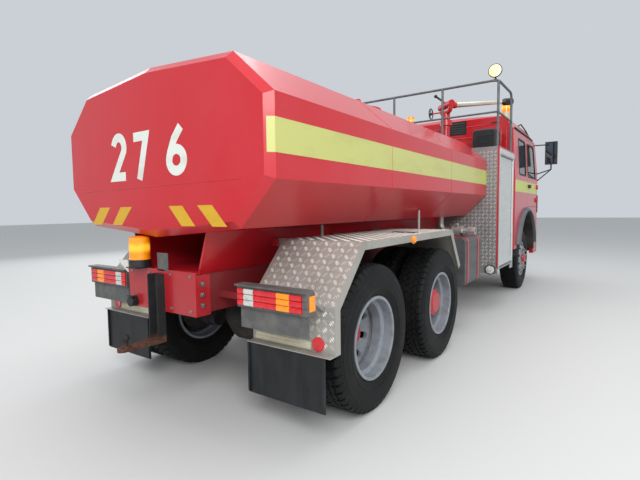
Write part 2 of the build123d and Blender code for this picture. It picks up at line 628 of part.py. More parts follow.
GUARD_TOP = WHEEL_Z + TYRE_RADIUS + 174
BAR_SIZE = 38
BAR_SEAT_OUT = 440
GUARD_REAR_X = REAR_AXLE_X - 582
GUARD_SLOPE_TOP_X = REAR_AXLE_X - 242
GUARD_FRONT_TOP_X = DRIVE_AXLE_X + 209
GUARD_SHEET = 6
BAR_XS = (GUARD_SLOPE_TOP_X + 120, BOGIE_X, GUARD_FRONT_TOP_X - 120)
CRADLE_LEAN = (CRADLE_HEAD_OUT - CRADLE_FOOT_OUT) / (TANK_BOTTOM - RAIL_TOP)


def tank_floor(out):
    """Height of the tank's underside at a distance out."""
    if out < TANK_CORNER_OUT:
        return TANK_BOTTOM + (TANK_CORNER_Z - TANK_BOTTOM) * out / TANK_CORNER_OUT
    slope = (TANK_LOWER_Z - TANK_CORNER_Z) / (TANK_HALF_WIDTH - TANK_CORNER_OUT)
    return TANK_CORNER_Z + slope * (out - TANK_CORNER_OUT)


with BuildPart() as tank_cradle:
    head_z = tank_floor(CRADLE_HEAD_OUT)
    inner_z = tank_floor(CRADLE_HEAD_OUT - CRADLE_WALL)
    with BuildSketch(Plane.YZ.offset(CRADLE_REAR_X)):
        with BuildLine():
            Polyline(
                (-CRADLE_HEAD_OUT, head_z),
                (-CRADLE_FOOT_OUT, RAIL_TOP),
                (CRADLE_FOOT_OUT, RAIL_TOP),
                (CRADLE_HEAD_OUT, head_z),
                (CRADLE_HEAD_OUT - CRADLE_WALL, inner_z),
                (CRADLE_FOOT_OUT - CRADLE_WALL, RAIL_TOP + CRADLE_WALL),
                (-CRADLE_FOOT_OUT + CRADLE_WALL, RAIL_TOP + CRADLE_WALL),
                (-CRADLE_HEAD_OUT + CRADLE_WALL, inner_z),
                close=True,
            )
        make_face()
    extrude(amount=TANK_FRONT_X - CRADLE_REAR_X)
    for side in (1, -1):
        for bar_x in BAR_XS:
            side_block(side, (bar_x - 40, bar_x + 40), (CRADLE_FOOT_OUT + 50, BAR_SEAT_OUT),
                       (GUARD_TOP - GUARD_SHEET - BAR_SIZE - 20, GUARD_TOP - GUARD_SHEET))
finish(tank_cradle.part, "tank_cradle")

# Water tank
# A ten-sided closed vessel, with a bevel around its rear face and a manhole neck on its ridge.

MANHOLE_X = TANK_REAR_X + 2840
NECK_RADIUS = 250
NECK_TOP = TANK_TOP + 190
LID_RADIUS = 270
LID_THICKNESS = 26
LID_HINGE_RADIUS = 14

with BuildPart() as water_tank:
    with BuildSketch(Plane.YZ.offset(TANK_REAR_X)):
        with BuildLine():
            Polyline(
                (0, TANK_TOP),
                (TANK_SHOULDER_OUT, TANK_SHOULDER_Z),
                (TANK_HALF_WIDTH, TANK_UPPER_Z),
                (TANK_HALF_WIDTH, TANK_LOWER_Z),
                (TANK_CORNER_OUT, TANK_CORNER_Z),
                (0, TANK_BOTTOM),
                (-TANK_CORNER_OUT, TANK_CORNER_Z),
                (-TANK_HALF_WIDTH, TANK_LOWER_Z),
                (-TANK_HALF_WIDTH, TANK_UPPER_Z),
                (-TANK_SHOULDER_OUT, TANK_SHOULDER_Z),
                close=True,
            )
        make_face()
    extrude(amount=TANK_LENGTH)
    chamfer(water_tank.faces().sort_by(Axis.X)[0].edges(), TANK_BEVEL)
    rod((MANHOLE_X, 0, TANK_TOP - 60), (MANHOLE_X, 0, NECK_TOP), NECK_RADIUS)
    hinge_x = MANHOLE_X + LID_RADIUS + 22
    for lug_y in (-70, 70):
        block((MANHOLE_X + NECK_RADIUS - 24, hinge_x + 16), (lug_y - 12, lug_y + 12), (NECK_TOP - 60, NECK_TOP - 6))
        block((hinge_x - 16, hinge_x + 16), (lug_y - 12, lug_y + 12), (NECK_TOP - 7, NECK_TOP + 30))
    rod((hinge_x, -82, NECK_TOP + 13), (hinge_x, 82, NECK_TOP + 13), 8)
    rod((MANHOLE_X, 0, TANK_TOP + 20), (MANHOLE_X, 0, NECK_TOP + 1), NECK_RADIUS - 10, Mode.SUBTRACT)
finish(water_tank.part, "water_tank")

handle_x = MANHOLE_X - 60
lid_handle = bent_tube([(handle_x, -60, NECK_TOP + LID_THICKNESS), (handle_x, -60, NECK_TOP + 140),
                        (handle_x, 60, NECK_TOP + 140), (handle_x, 60, NECK_TOP + LID_THICKNESS)], 25, 9)
with BuildPart() as tank_lid:
    rod((MANHOLE_X, 0, NECK_TOP + RUNNING_GAP), (MANHOLE_X, 0, NECK_TOP + LID_THICKNESS), LID_RADIUS)
    block((MANHOLE_X + LID_RADIUS - 40, hinge_x), (-50, 50), (NECK_TOP + RUNNING_GAP, NECK_TOP + LID_THICKNESS))
    rod((hinge_x, -50, NECK_TOP + 13), (hinge_x, 50, NECK_TOP + 13), LID_HINGE_RADIUS)
    rod((hinge_x, -51, NECK_TOP + 13), (hinge_x, 51, NECK_TOP + 13), 8 + RUNNING_GAP, Mode.SUBTRACT)
    add(lid_handle)
finish(tank_lid.part, "tank_lid")

# Outlet pipe under the tank's right bottom corner, with a valve body and an open coupling

PIPE_X = FUEL_REAR_X + FUEL_LENGTH + 180
PIPE_RADIUS = 38
COUPLING_RADIUS = 55
COUPLING_BORE = 33
PIPE_DROP_OUT = 620
PIPE_Z = TANK_BOTTOM - 124
VALVE_OUT = 850
COUPLING_OUT = 1080

outlet_tube = bent_tube([(PIPE_X, -PIPE_DROP_OUT, tank_floor(PIPE_DROP_OUT) + 30),
                         (PIPE_X, -PIPE_DROP_OUT, PIPE_Z), (PIPE_X, -COUPLING_OUT + 80, PIPE_Z)],
                        90, PIPE_RADIUS)
with BuildPart() as outlet_pipe:
    add(outlet_tube)
    rod((PIPE_X, -VALVE_OUT + 50, PIPE_Z), (PIPE_X, -VALVE_OUT - 50, PIPE_Z), 62)
    for flange_out in (VALVE_OUT - 58, VALVE_OUT + 58):
        rod((PIPE_X, -flange_out + 9, PIPE_Z), (PIPE_X, -flange_out - 9, PIPE_Z), 70)
    rod((PIPE_X, -VALVE_OUT, PIPE_Z), (PIPE_X, -VALVE_OUT, PIPE_Z + 90), 12)
    block((PIPE_X - 90, PIPE_X + 20), (-VALVE_OUT - 10, -VALVE_OUT + 10), (PIPE_Z + 82, PIPE_Z + 96))
    rod((PIPE_X, -COUPLING_OUT + 95, PIPE_Z), (PIPE_X, -COUPLING_OUT, PIPE_Z), COUPLING_RADIUS)
    rod((PIPE_X, -COUPLING_OUT + 120, PIPE_Z), (PIPE_X, -COUPLING_OUT - 10, PIPE_Z), COUPLING_BORE,
        Mode.SUBTRACT)
    with BuildSketch(Plane.YZ.offset(PIPE_X - 120)):
        with BuildLine():
            Polyline(
                (TANK_CORNER_OUT, TANK_CORNER_Z),
                (0, TANK_BOTTOM),
                (-TANK_CORNER_OUT, TANK_CORNER_Z),
                (-TANK_CORNER_OUT, TANK_CORNER_Z + 200),
                (TANK_CORNER_OUT, TANK_CORNER_Z + 200),
                close=True,
            )
        make_face()
    extrude(amount=240, mode=Mode.SUBTRACT)
finish(outlet_pipe.part, "outlet_pipe")

# Mudguards
# Folded sheet over both rear wheels, with a flange along its outer edge, a lip at the tail and bars to the cradle.

GUARD_INNER_OUT = 570
GUARD_OUTER_OUT = 1246
GUARD_FLANGE = 55
GUARD_REAR_LOW = WHEEL_Z + 35
GUARD_REAR_HIGH = WHEEL_Z + 331
GUARD_FRONT_LOW = WHEEL_Z + 320
STAY_RADIUS = 12
# the stays between the sheet and the tank: place along the truck and distance out
STAYS = [(GUARD_SLOPE_TOP_X + 419, 627), (GUARD_FRONT_TOP_X - 38, 912)]
FLAP_X = GUARD_REAR_X - 53
FLAP_THICKNESS = 10
FLAP_OUTS = (GUARD_INNER_OUT + 5, 1200)
FLAP_LOW = 215
FLAP_RIB = 15

with BuildPart() as mudguards:
    for side in (1, -1):
        guard_plane = Plane.XZ.offset(-side * GUARD_INNER_OUT)
        for depth, thickness, place in ((GUARD_SHEET, GUARD_OUTER_OUT - GUARD_INNER_OUT, 0),
                                        (GUARD_FLANGE, GUARD_SHEET, GUARD_OUTER_OUT - GUARD_INNER_OUT - GUARD_SHEET)):
            with BuildSketch(guard_plane.offset(-side * place)):
                with BuildLine():
                    Polyline(
                        (GUARD_REAR_X, GUARD_REAR_LOW),
                        (GUARD_REAR_X, GUARD_REAR_HIGH),
                        (GUARD_SLOPE_TOP_X, GUARD_TOP),
                        (GUARD_FRONT_TOP_X, GUARD_TOP),
                        (GUARD_FRONT_X, GUARD_FRONT_LOW),
                    )
                    offset(amount=depth, side=Side.RIGHT)
                make_face()
            extrude(amount=-side * thickness)
        side_block(side, (GUARD_REAR_X - 60, GUARD_REAR_X + 1), (GUARD_INNER_OUT, GUARD_OUTER_OUT),
                   (GUARD_REAR_LOW, GUARD_REAR_LOW + GUARD_SHEET))
        for bar_x in BAR_XS:
            side_block(side, (bar_x - BAR_SIZE / 2, bar_x + BAR_SIZE / 2), (BAR_SEAT_OUT, GUARD_OUTER_OUT - 20),
                       (GUARD_TOP - GUARD_SHEET - BAR_SIZE, GUARD_TOP - GUARD_SHEET + 1))
        for stay_x, stay_out in STAYS:
            rod((stay_x, side * stay_out, GUARD_TOP - 1),
                (stay_x, side * stay_out, tank_floor(stay_out - STAY_RADIUS) - RUNNING_GAP), STAY_RADIUS)
finish(mudguards.part, "mudguards")

with BuildPart() as mud_flaps:
    for side in (1, -1):
        side_block(side, (FLAP_X, FLAP_X + FLAP_THICKNESS), FLAP_OUTS, (FLAP_LOW, GUARD_REAR_LOW))
        for rib_out in (FLAP_OUTS[0], FLAP_OUTS[1] - FLAP_RIB):
            side_block(side, (FLAP_X - 12, FLAP_X + 1), (rib_out, rib_out + FLAP_RIB),
                       (FLAP_LOW + 10, GUARD_REAR_LOW))
finish(mud_flaps.part, "mud_flaps")

# Tail lamps
# A long moulded housing on each lamp arm, hooded along its top, its lens split into three bands and five zones,
# with a bare plate under it.

LAMP_FACE_X = REAR_AXLE_X - 780
LAMP_FRONT_X = LAMP_ARM_X - 22
LAMP_OUTS = (630, 1185)
LAMP_ZS = (840, 985)
HOOD_REACH = 25
HOOD_THICKNESS = 14
LAMP_CHAMFER = 20
LENS_GROOVE = 4
LENS_ZONES = 5
LENS_BANDS = 3
PLATE_LOW = 705

with BuildPart() as tail_lamps:
    for side in (1, -1):
        with BuildSketch(Plane.XZ.offset(-side * LAMP_OUTS[0])):
            with BuildLine():
                Polyline(
                    (LAMP_FRONT_X, LAMP_ZS[0] + LAMP_CHAMFER),
                    (LAMP_FRONT_X - LAMP_CHAMFER, LAMP_ZS[0]),
                    (LAMP_FACE_X, LAMP_ZS[0]),
                    (LAMP_FACE_X, LAMP_ZS[1] - HOOD_THICKNESS),
                    (LAMP_FACE_X - HOOD_REACH, LAMP_ZS[1] - HOOD_THICKNESS + 6),
                    (LAMP_FACE_X - HOOD_REACH, LAMP_ZS[1] + 4),
                    (LAMP_FRONT_X - LAMP_CHAMFER, LAMP_ZS[1] + 4),
                    (LAMP_FRONT_X, LAMP_ZS[1] - LAMP_CHAMFER),
                    close=True,
                )
            make_face()
        extrude(amount=-side * (LAMP_OUTS[1] - LAMP_OUTS[0]))
        for zone in range(1, LENS_ZONES):
            edge_out = LAMP_OUTS[0] + zone * (LAMP_OUTS[1] - LAMP_OUTS[0]) / LENS_ZONES
            side_block(side, (LAMP_FACE_X - 1, LAMP_FACE_X + LENS_GROOVE),
                       (edge_out - LENS_GROOVE / 2, edge_out + LENS_GROOVE / 2),
                       (LAMP_ZS[0] - 1, LAMP_ZS[1] - HOOD_THICKNESS), Mode.SUBTRACT)
        for band in range(1, LENS_BANDS):
            edge_z = LAMP_ZS[0] + band * (LAMP_ZS[1] - HOOD_THICKNESS - LAMP_ZS[0]) / LENS_BANDS
            side_block(side, (LAMP_FACE_X - 1, LAMP_FACE_X + LENS_GROOVE),
                       (LAMP_OUTS[0] - 1, LAMP_OUTS[1] + 1),
                       (edge_z - LENS_GROOVE / 2, edge_z + LENS_GROOVE / 2), Mode.SUBTRACT)
        side_block(side, (LAMP_FACE_X + 20, LAMP_FACE_X + 32), (LAMP_OUTS[0] + 10, LAMP_OUTS[1] - 10),
                   (PLATE_LOW, LAMP_ZS[0] + 1))
finish(tail_lamps.part, "tail_lamps")

# Fuel tank, its straps, air tanks and silencer

FUEL_OUT = 1190
FUEL_LOW = 550
FUEL_HIGH = 1110
STRAP = 6
CAP_RADIUS = 42
CAP_OUT = 1080

with BuildPart() as fuel_tank:
    block((FUEL_REAR_X, FUEL_REAR_X + FUEL_LENGTH), (-FUEL_OUT, -FUEL_INNER_OUT - STRAP), (FUEL_LOW, FUEL_HIGH))
    fillet(fuel_tank.edges().filter_by(Axis.X), 60)
    cap_x = FUEL_REAR_X + FUEL_LENGTH / 2
    rod((cap_x, -CAP_OUT, FUEL_HIGH - 20), (cap_x, -CAP_OUT, FUEL_HIGH + 14), CAP_RADIUS - 8)
    rod((cap_x, -CAP_OUT, FUEL_HIGH + 12), (cap_x, -CAP_OUT, FUEL_HIGH + 36), CAP_RADIUS)
finish(fuel_tank.part, "fuel_tank")

with BuildPart() as fuel_straps:
    for arm_x in SIDE_ARM_XS:
        with BuildSketch(Plane.YZ.offset(arm_x - 25)):
            with Locations((-(FUEL_OUT + FUEL_INNER_OUT + STRAP) / 2, (FUEL_LOW + FUEL_HIGH) / 2)):
                RectangleRounded(FUEL_OUT - FUEL_INNER_OUT + STRAP, FUEL_HIGH - FUEL_LOW + 2 * STRAP, 66)
                RectangleRounded(FUEL_OUT - FUEL_INNER_OUT - STRAP + 0.4, FUEL_HIGH - FUEL_LOW + 0.4, 60,
                                 mode=Mode.SUBTRACT)
        extrude(amount=50)
finish(fuel_straps.part, "fuel_straps")

AIR_TANK_RADIUS = 130
AIR_TANK_OUT = FUEL_INNER_OUT + AIR_TANK_RADIUS
AIR_TANK_ZS = (690, 960)
AIR_TANK_DOME = 60

with BuildPart() as air_tanks:
    for tank_z in AIR_TANK_ZS:
        rod((FUEL_REAR_X, AIR_TANK_OUT, tank_z), (FUEL_REAR_X + FUEL_LENGTH, AIR_TANK_OUT, tank_z),
            AIR_TANK_RADIUS)
    fillet(air_tanks.edges().filter_by(GeomType.CIRCLE), AIR_TANK_DOME)
    block((FUEL_REAR_X + 80, FUEL_REAR_X + FUEL_LENGTH - 80), (FUEL_INNER_OUT, FUEL_INNER_OUT + 30),
          (AIR_TANK_ZS[0] - 50, AIR_TANK_ZS[1] + 10))
finish(air_tanks.part, "air_tanks")

SILENCER_X = FUEL_REAR_X + FUEL_LENGTH + 210
SILENCER_OUTS = (560, 1120)
SILENCER_Z = RAIL_BOTTOM - 10
SILENCER_RADIUS = 170
INLET_Z = SILENCER_Z + 90
TAILPIPE_OUT = 900

with BuildPart() as silencer:
    rod((SILENCER_X, SILENCER_OUTS[0], SILENCER_Z), (SILENCER_X, SILENCER_OUTS[1], SILENCER_Z), SILENCER_RADIUS)
    fillet(silencer.edges().filter_by(GeomType.CIRCLE), 40)
    rod((SILENCER_X, RAIL_OUT, INLET_Z), (SILENCER_X, SILENCER_OUTS[0] + 40, INLET_Z), 40)
    rod((SILENCER_X, TAILPIPE_OUT, SILENCER_Z), (SILENCER_X - 60, TAILPIPE_OUT, SILENCER_Z - 280), 45)
finish(silencer.part, "silencer")

# Equipment cabinet
# It bridges the frame, with an open compartment on each side behind a roller shutter.

SHUTTER_INSET = 60
SHUTTER_LOW = 640
SHUTTER_HIGH = 2160
SHUTTER_THICKNESS = 22
SHUTTER_OUT = CABINET_OUT - 12
SHUTTER_XS = (CABINET_REAR_X + SHUTTER_INSET, CABINET_FRONT_X - SHUTTER_INSET)
COMPARTMENT_INNER_OUT = 470
CABINET_TUNNEL_OUT = 430
SLAT_PITCH = 38
SLAT_DEPTH = 4
SLAT_EDGE = 5
SLAT_COUNT = int((SHUTTER_HIGH - SHUTTER_LOW) / SLAT_PITCH)
FRAME_WIDTH = 40
FRAME_PROUD = 5
HEADER_HEIGHT = 90

with BuildPart() as cabinet:
    block((CABINET_REAR_X, CABINET_FRONT_X), (-CABINET_OUT, CABINET_OUT), (CABINET_BOTTOM, CABINET_TOP))
    block((CABINET_REAR_X - 1, CABINET_FRONT_X + 1), (-CABINET_TUNNEL_OUT, CABINET_TUNNEL_OUT),
          (CABINET_BOTTOM - 1, RAIL_TOP), Mode.SUBTRACT)
    for side in (1, -1):
        side_block(side, (SHUTTER_XS[0] - FRAME_WIDTH, SHUTTER_XS[1] + FRAME_WIDTH),
                   (CABINET_OUT - 1, CABINET_OUT + FRAME_PROUD),
                   (CABINET_BOTTOM, SHUTTER_HIGH + HEADER_HEIGHT))
        side_block(side, SHUTTER_XS, (COMPARTMENT_INNER_OUT, CABINET_OUT + FRAME_PROUD + 1),
                   (SHUTTER_LOW, SHUTTER_HIGH), Mode.SUBTRACT)
finish(cabinet.part, "equipment_cabinet")

slat_profile = [(SHUTTER_OUT - SHUTTER_THICKNESS, SHUTTER_LOW)]
for index in range(SLAT_COUNT):
    slat_z = SHUTTER_LOW + index * SLAT_PITCH
    slat_profile.append((SHUTTER_OUT - SLAT_DEPTH, slat_z))
    slat_profile.append((SHUTTER_OUT, slat_z + SLAT_EDGE))
    slat_profile.append((SHUTTER_OUT, slat_z + SLAT_PITCH - SLAT_EDGE))
slat_profile.append((SHUTTER_OUT - SLAT_DEPTH, SHUTTER_LOW + SLAT_COUNT * SLAT_PITCH))
slat_profile.append((SHUTTER_OUT - SHUTTER_THICKNESS, SHUTTER_LOW + SLAT_COUNT * SLAT_PITCH))

with BuildPart() as shutters:
    for side in (1, -1):
        with BuildSketch(Plane.YZ.offset(SHUTTER_XS[0])):
            with BuildLine():
                Polyline(*[(side * out, z) for out, z in slat_profile], close=True)
            make_face()
        extrude(amount=SHUTTER_XS[1] - SHUTTER_XS[0])
        side_block(side, SHUTTER_XS, (SHUTTER_OUT - 8, SHUTTER_OUT + 20), (SHUTTER_LOW, SHUTTER_LOW + 45))
finish(shutters.part, "roller_shutters")

# Guard rail on the cabinet top

POST_X = CABINET_REAR_X + 60
POST_FRONT_X = CABINET_FRONT_X - 30
POST_PITCH = 765
POST_FIRST_Y = -1205
RAIL_HIGH = CABINET_TOP + 890
RAIL_MID = RAIL_HIGH - 420
RAIL_TUBE = 17
FOOT_RADIUS = 28
FOOT_THICKNESS = 8
HOOP_INSET = 26
POST_YS = [POST_FIRST_Y + index * POST_PITCH for index in range(4)]

top_hoop = bent_tube([(POST_FRONT_X, POST_YS[0], CABINET_TOP), (POST_FRONT_X, POST_YS[0], RAIL_HIGH),
                      (POST_X, POST_YS[0], RAIL_HIGH), (POST_X, POST_YS[-1], RAIL_HIGH),
                      (POST_FRONT_X, POST_YS[-1], RAIL_HIGH), (POST_FRONT_X, POST_YS[-1], CABINET_TOP)],
                     90, RAIL_TUBE)
with BuildPart() as guard_rail:
    add(top_hoop)
    for post_y in POST_YS:
        outermost = post_y in (POST_YS[0], POST_YS[-1])
        place_x = POST_X + HOOP_INSET if outermost else POST_X
        rod((place_x, post_y, CABINET_TOP), (place_x, post_y, RAIL_HIGH), RAIL_TUBE)
        rod((place_x, post_y, CABINET_TOP), (place_x, post_y, CABINET_TOP + FOOT_THICKNESS), FOOT_RADIUS)
    rod((POST_X + 4, POST_YS[0], RAIL_MID), (POST_X + 4, POST_YS[-1], RAIL_MID), RAIL_TUBE * 0.8)
    for end_y in (POST_YS[0], POST_YS[-1]):
        rod((POST_X, end_y, RAIL_MID), (POST_FRONT_X, end_y, RAIL_MID), RAIL_TUBE * 0.8)
finish(guard_rail.part, "guard_rail")

# Work light, a turned bowl on a stem at the rail's rear right corner

LIGHT_RADIUS = 90
LIGHT_BOWL = 84
LIGHT_X = POST_X + HOOP_INSET
LIGHT_Y = POST_YS[0] + 40
LIGHT_FOOT_Z = RAIL_HIGH + RAIL_TUBE
LIGHT_Z = LIGHT_FOOT_Z + 110

with BuildPart() as work_light:
    rod((LIGHT_X - 30, LIGHT_Y, LIGHT_Z), (LIGHT_X + 24, LIGHT_Y, LIGHT_Z), LIGHT_BOWL)
    fillet(work_light.edges().group_by(Axis.X)[-1], 36)
    rod((LIGHT_X - 36, LIGHT_Y, LIGHT_Z), (LIGHT_X - 20, LIGHT_Y, LIGHT_Z), LIGHT_RADIUS)
    rod((LIGHT_X, LIGHT_Y, LIGHT_FOOT_Z - 1), (LIGHT_X, LIGHT_Y, LIGHT_Z), 10)
    block((LIGHT_X - 16, LIGHT_X + 16), (LIGHT_Y - 16, LIGHT_Y + 16), (LIGHT_FOOT_Z - 0.5, LIGHT_FOOT_Z + 8))
finish(work_light.part, "work_light")

# Water cannon
# A riser with a swivel on the cabinet top, an elbow that turns on it and a barrel that lifts on the elbow.

CANNON_X = CABINET_REAR_X + 480
CANNON_Y = -350
RISER_RADIUS = 62
SWIVEL_Z = CABINET_TOP + 480
PIVOT_Z = SWIVEL_Z + 270
BARREL_RADIUS = 36
BARREL_LENGTH = 1120
BARREL_HEADING = -45
BARREL_RISE = 5
TRUNNION_RADIUS = 50
YOKE_OUT = 150
YOKE_DROP = 105
HANDLE_END = (-160, 150)
HANDLE_KNOB = 26
HEADING = Vector(cos(radians(BARREL_HEADING)), sin(radians(BARREL_HEADING)), 0)
ACROSS = Vector(-HEADING.Y, HEADING.X, 0)
PIVOT = Vector(CANNON_X, CANNON_Y, PIVOT_Z)


def cannon_point(along, across, up):
    return tuple(PIVOT + HEADING * along + ACROSS * across + Vector(0, 0, up))


# The handwheel that turns the cannon stands on a shaft behind the riser, clear of the barrel's handle.
HAND_RADIUS = 80
HAND_DROP = 95
HAND_REACH = 170
HAND_PLACE = cannon_point(-HAND_REACH, HAND_REACH, -HAND_DROP)

with BuildPart() as cannon_base:
    rod((CANNON_X, CANNON_Y, CABINET_TOP), (CANNON_X, CANNON_Y, CABINET_TOP + 25), 130)
    rod((CANNON_X, CANNON_Y, CABINET_TOP), (CANNON_X, CANNON_Y, SWIVEL_Z), RISER_RADIUS)
    rod((CANNON_X, CANNON_Y, SWIVEL_Z - 40), (CANNON_X, CANNON_Y, SWIVEL_Z), 92)
finish(cannon_base.part, "cannon_base")

yoke = bent_tube([cannon_point(0, -YOKE_OUT, 0), cannon_point(0, -YOKE_OUT, -YOKE_DROP),
                  cannon_point(0, YOKE_OUT, -YOKE_DROP), cannon_point(0, YOKE_OUT, 0)], 60, 34)
with BuildPart() as cannon_elbow:
    rod((CANNON_X, CANNON_Y, SWIVEL_Z + RUNNING_GAP), (CANNON_X, CANNON_Y, SWIVEL_Z + 40), 92)
    rod((CANNON_X, CANNON_Y, SWIVEL_Z + 20), (CANNON_X, CANNON_Y, PIVOT_Z - YOKE_DROP), RISER_RADIUS)
    add(yoke)
    for across in (-1, 1):
        rod(cannon_point(0, across * (YOKE_OUT + 40), 0), cannon_point(0, across * (YOKE_OUT - 60), 0),
            TRUNNION_RADIUS)
    rod(cannon_point(0, 0, -HAND_DROP), HAND_PLACE, 11)
    with Locations(Plane(origin=HAND_PLACE, z_dir=ACROSS - HEADING)):
        Torus(HAND_RADIUS, 9)
        Cylinder(20, 30)
        for turn in (0, 120, 240):
            with Locations(Location((0, 0, 0), (0, 0, turn))):
                Box(HAND_RADIUS, 12, 8, align=(Align.MIN, Align.CENTER, Align.CENTER))
finish(cannon_elbow.part, "cannon_elbow")

LIFT = radians(BARREL_RISE)
NOZZLE_RADIUS = 55
NOZZLE_LENGTH = 140


def barrel_point(along, up=0):
    return cannon_point(along * cos(LIFT) - up * sin(LIFT), 0, along * sin(LIFT) + up * cos(LIFT))


BARREL_LINE = Vector(*barrel_point(1)) - Vector(*barrel_point(0))
NOZZLE_START = BARREL_LENGTH - NOZZLE_LENGTH

with BuildPart() as cannon_barrel:
    rod(cannon_point(0, 60 - YOKE_OUT + RUNNING_GAP, 0), cannon_point(0, YOKE_OUT - 60 - RUNNING_GAP, 0),
        TRUNNION_RADIUS)
    with BuildSketch(Plane(origin=barrel_point(0), x_dir=BARREL_LINE, z_dir=ACROSS)):
        with BuildLine():
            Polyline(
                (0, 0),
                (0, BARREL_RADIUS + 4),
                (80, BARREL_RADIUS + 4),
                (80, BARREL_RADIUS + 12),
                (160, BARREL_RADIUS + 12),
                (160, BARREL_RADIUS + 4),
                (NOZZLE_START - 40, BARREL_RADIUS - 8),
                (NOZZLE_START, NOZZLE_RADIUS - 6),
                (NOZZLE_START + 20, NOZZLE_RADIUS),
                (BARREL_LENGTH, NOZZLE_RADIUS),
                (BARREL_LENGTH, NOZZLE_RADIUS - 16),
                (BARREL_LENGTH - 70, BARREL_RADIUS - 18),
                (BARREL_LENGTH - 70, 0),
                close=True,
            )
        make_face()
    revolve(axis=Axis(barrel_point(0), BARREL_LINE))
    rod(barrel_point(40), barrel_point(*HANDLE_END), 14)
    with Locations(barrel_point(*HANDLE_END)):
        Sphere(HANDLE_KNOB)
finish(cannon_barrel.part, "cannon_barrel")

# Air intake box on the cabinet top, behind the cab

INTAKE_DEPTH = 260
INTAKE_YS = (-1050, -690)
INTAKE_HEIGHT = 370
LOUVRES = 6
LOUVRE_PITCH = 36

with BuildPart() as intake_box:
    block((CABINET_FRONT_X - INTAKE_DEPTH, CABINET_FRONT_X), INTAKE_YS, (CABINET_TOP, CABINET_TOP + INTAKE_HEIGHT))
    fillet(intake_box.faces().sort_by(Axis.Z)[-1].edges().filter_by(Axis.X), 70)
    fillet(intake_box.edges().filter_by(Axis.Z).group_by(Axis.X)[0], 30)
    for index in range(LOUVRES):
        louvre_z = CABINET_TOP + 60 + index * LOUVRE_PITCH
        block((CABINET_FRONT_X - INTAKE_DEPTH - 1, CABINET_FRONT_X - INTAKE_DEPTH + 8),
              (INTAKE_YS[0] + 50, INTAKE_YS[1] - 50), (louvre_z, louvre_z + LOUVRE_PITCH / 2), Mode.SUBTRACT)
finish(intake_box.part, "intake_box")

# Side ladder between the cabinet and the cab, carried from the right rail

LADDER_XS = (CABINET_FRONT_X + 28, CAB_REAR_X - 28)
LADDER_Y = -1215
LADDER_ZS = (500, 1180)
RUNG_ZS = (540, 810, 1070)
RUNG_RADIUS = 11
TIE_X = sum(LADDER_XS) / 2
TIE_ZS = (RAIL_BOTTOM + 50, RAIL_BOTTOM + 210)

with BuildPart() as side_ladder:
    for stile_x in LADDER_XS:
        rod((stile_x, LADDER_Y, LADDER_ZS[0]), (stile_x, LADDER_Y, LADDER_ZS[1]), 13)
    for rung_z in RUNG_ZS:
        rod((LADDER_XS[0], LADDER_Y, rung_z), (LADDER_XS[1], LADDER_Y, rung_z), RUNG_RADIUS)
    for tie_z in TIE_ZS:
        rod((TIE_X, -RAIL_OUT, tie_z), (TIE_X, LADDER_Y, tie_z), 15)
        rod((LADDER_XS[0], LADDER_Y, tie_z), (LADDER_XS[1], LADDER_Y, tie_z), RUNG_RADIUS)
finish(side_ladder.part, "side_ladder")

# Cab
# The body is what three outlines share: from the side, from behind and from above. Each layer of the wall is the
# same body with its outlines moved inwards.

WINDSCREEN_TOP_X = CAB_FRONT_X - 330
WINDSCREEN_TOP_Z = 2790
CAB_CORNER = 150


def cab_body(inset):
    with BuildPart() as body:
        with BuildSketch(Plane.XZ) as from_side:
            with BuildLine():
                Polyline(
                    (CAB_REAR_X, CAB_BOTTOM - 200),
                    (CAB_REAR_X, CAB_ROOF_TOP - 70),
                    (CAB_REAR_X + 150, CAB_ROOF_TOP + 10),
                    (WINDSCREEN_TOP_X - 220, CAB_ROOF_TOP + 10),
                    (WINDSCREEN_TOP_X, WINDSCREEN_TOP_Z),
                    (CAB_FRONT_X - 30, CAB_BELT_Z + 40),
                    (CAB_FRONT_X, CAB_BELT_Z - 120),
                    (CAB_FRONT_X, CAB_BOTTOM - 200),
                    close=True,
                )
            make_face()
            offset(amount=-inset, kind=Kind.INTERSECTION, mode=Mode.REPLACE)
        extrude(from_side.sketch, amount=CAB_OUT + 10, both=True)
        with BuildSketch(Plane.YZ.offset(CAB_REAR_X - 10)) as from_behind:
            with BuildLine():
                Polyline(
                    (CAB_ROOF_EDGE_OUT, CAB_ROOF_EDGE_Z),
                    (CAB_DRIP_OUT, CAB_DRIP_Z),
                    (CAB_OUT, CAB_BELT_Z),
                    (CAB_OUT, CAB_BOTTOM - 200),
                    (-CAB_OUT, CAB_BOTTOM - 200),
                    (-CAB_OUT, CAB_BELT_Z),
                    (-CAB_DRIP_OUT, CAB_DRIP_Z),
                    (-CAB_ROOF_EDGE_OUT, CAB_ROOF_EDGE_Z),
                )
                ThreePointArc((-CAB_ROOF_EDGE_OUT, CAB_ROOF_EDGE_Z), (0, CAB_ROOF_TOP),
                              (CAB_ROOF_EDGE_OUT, CAB_ROOF_EDGE_Z))
            make_face()
            offset(amount=-inset, kind=Kind.INTERSECTION, mode=Mode.REPLACE)
        extrude(from_behind.sketch, amount=CAB_LENGTH + 20, mode=Mode.INTERSECT)
        with BuildSketch(Plane.XY.offset(CAB_BOTTOM)) as from_above:
            with BuildLine():
                outline = Polyline(
                    (CAB_REAR_X, -CAB_OUT),
                    (CAB_FRONT_X, -CAB_OUT),
                    (CAB_FRONT_X, CAB_OUT),
                    (CAB_REAR_X, CAB_OUT),
                    close=True,
                )
            make_face()
            fillet(from_above.vertices().group_by(Axis.X)[-1], CAB_CORNER)
            fillet(from_above.vertices().group_by(Axis.X)[0], 40)
            offset(amount=-inset, kind=Kind.INTERSECTION, mode=Mode.REPLACE)
        extrude(from_above.sketch, amount=3000, mode=Mode.INTERSECT)
    return body.part


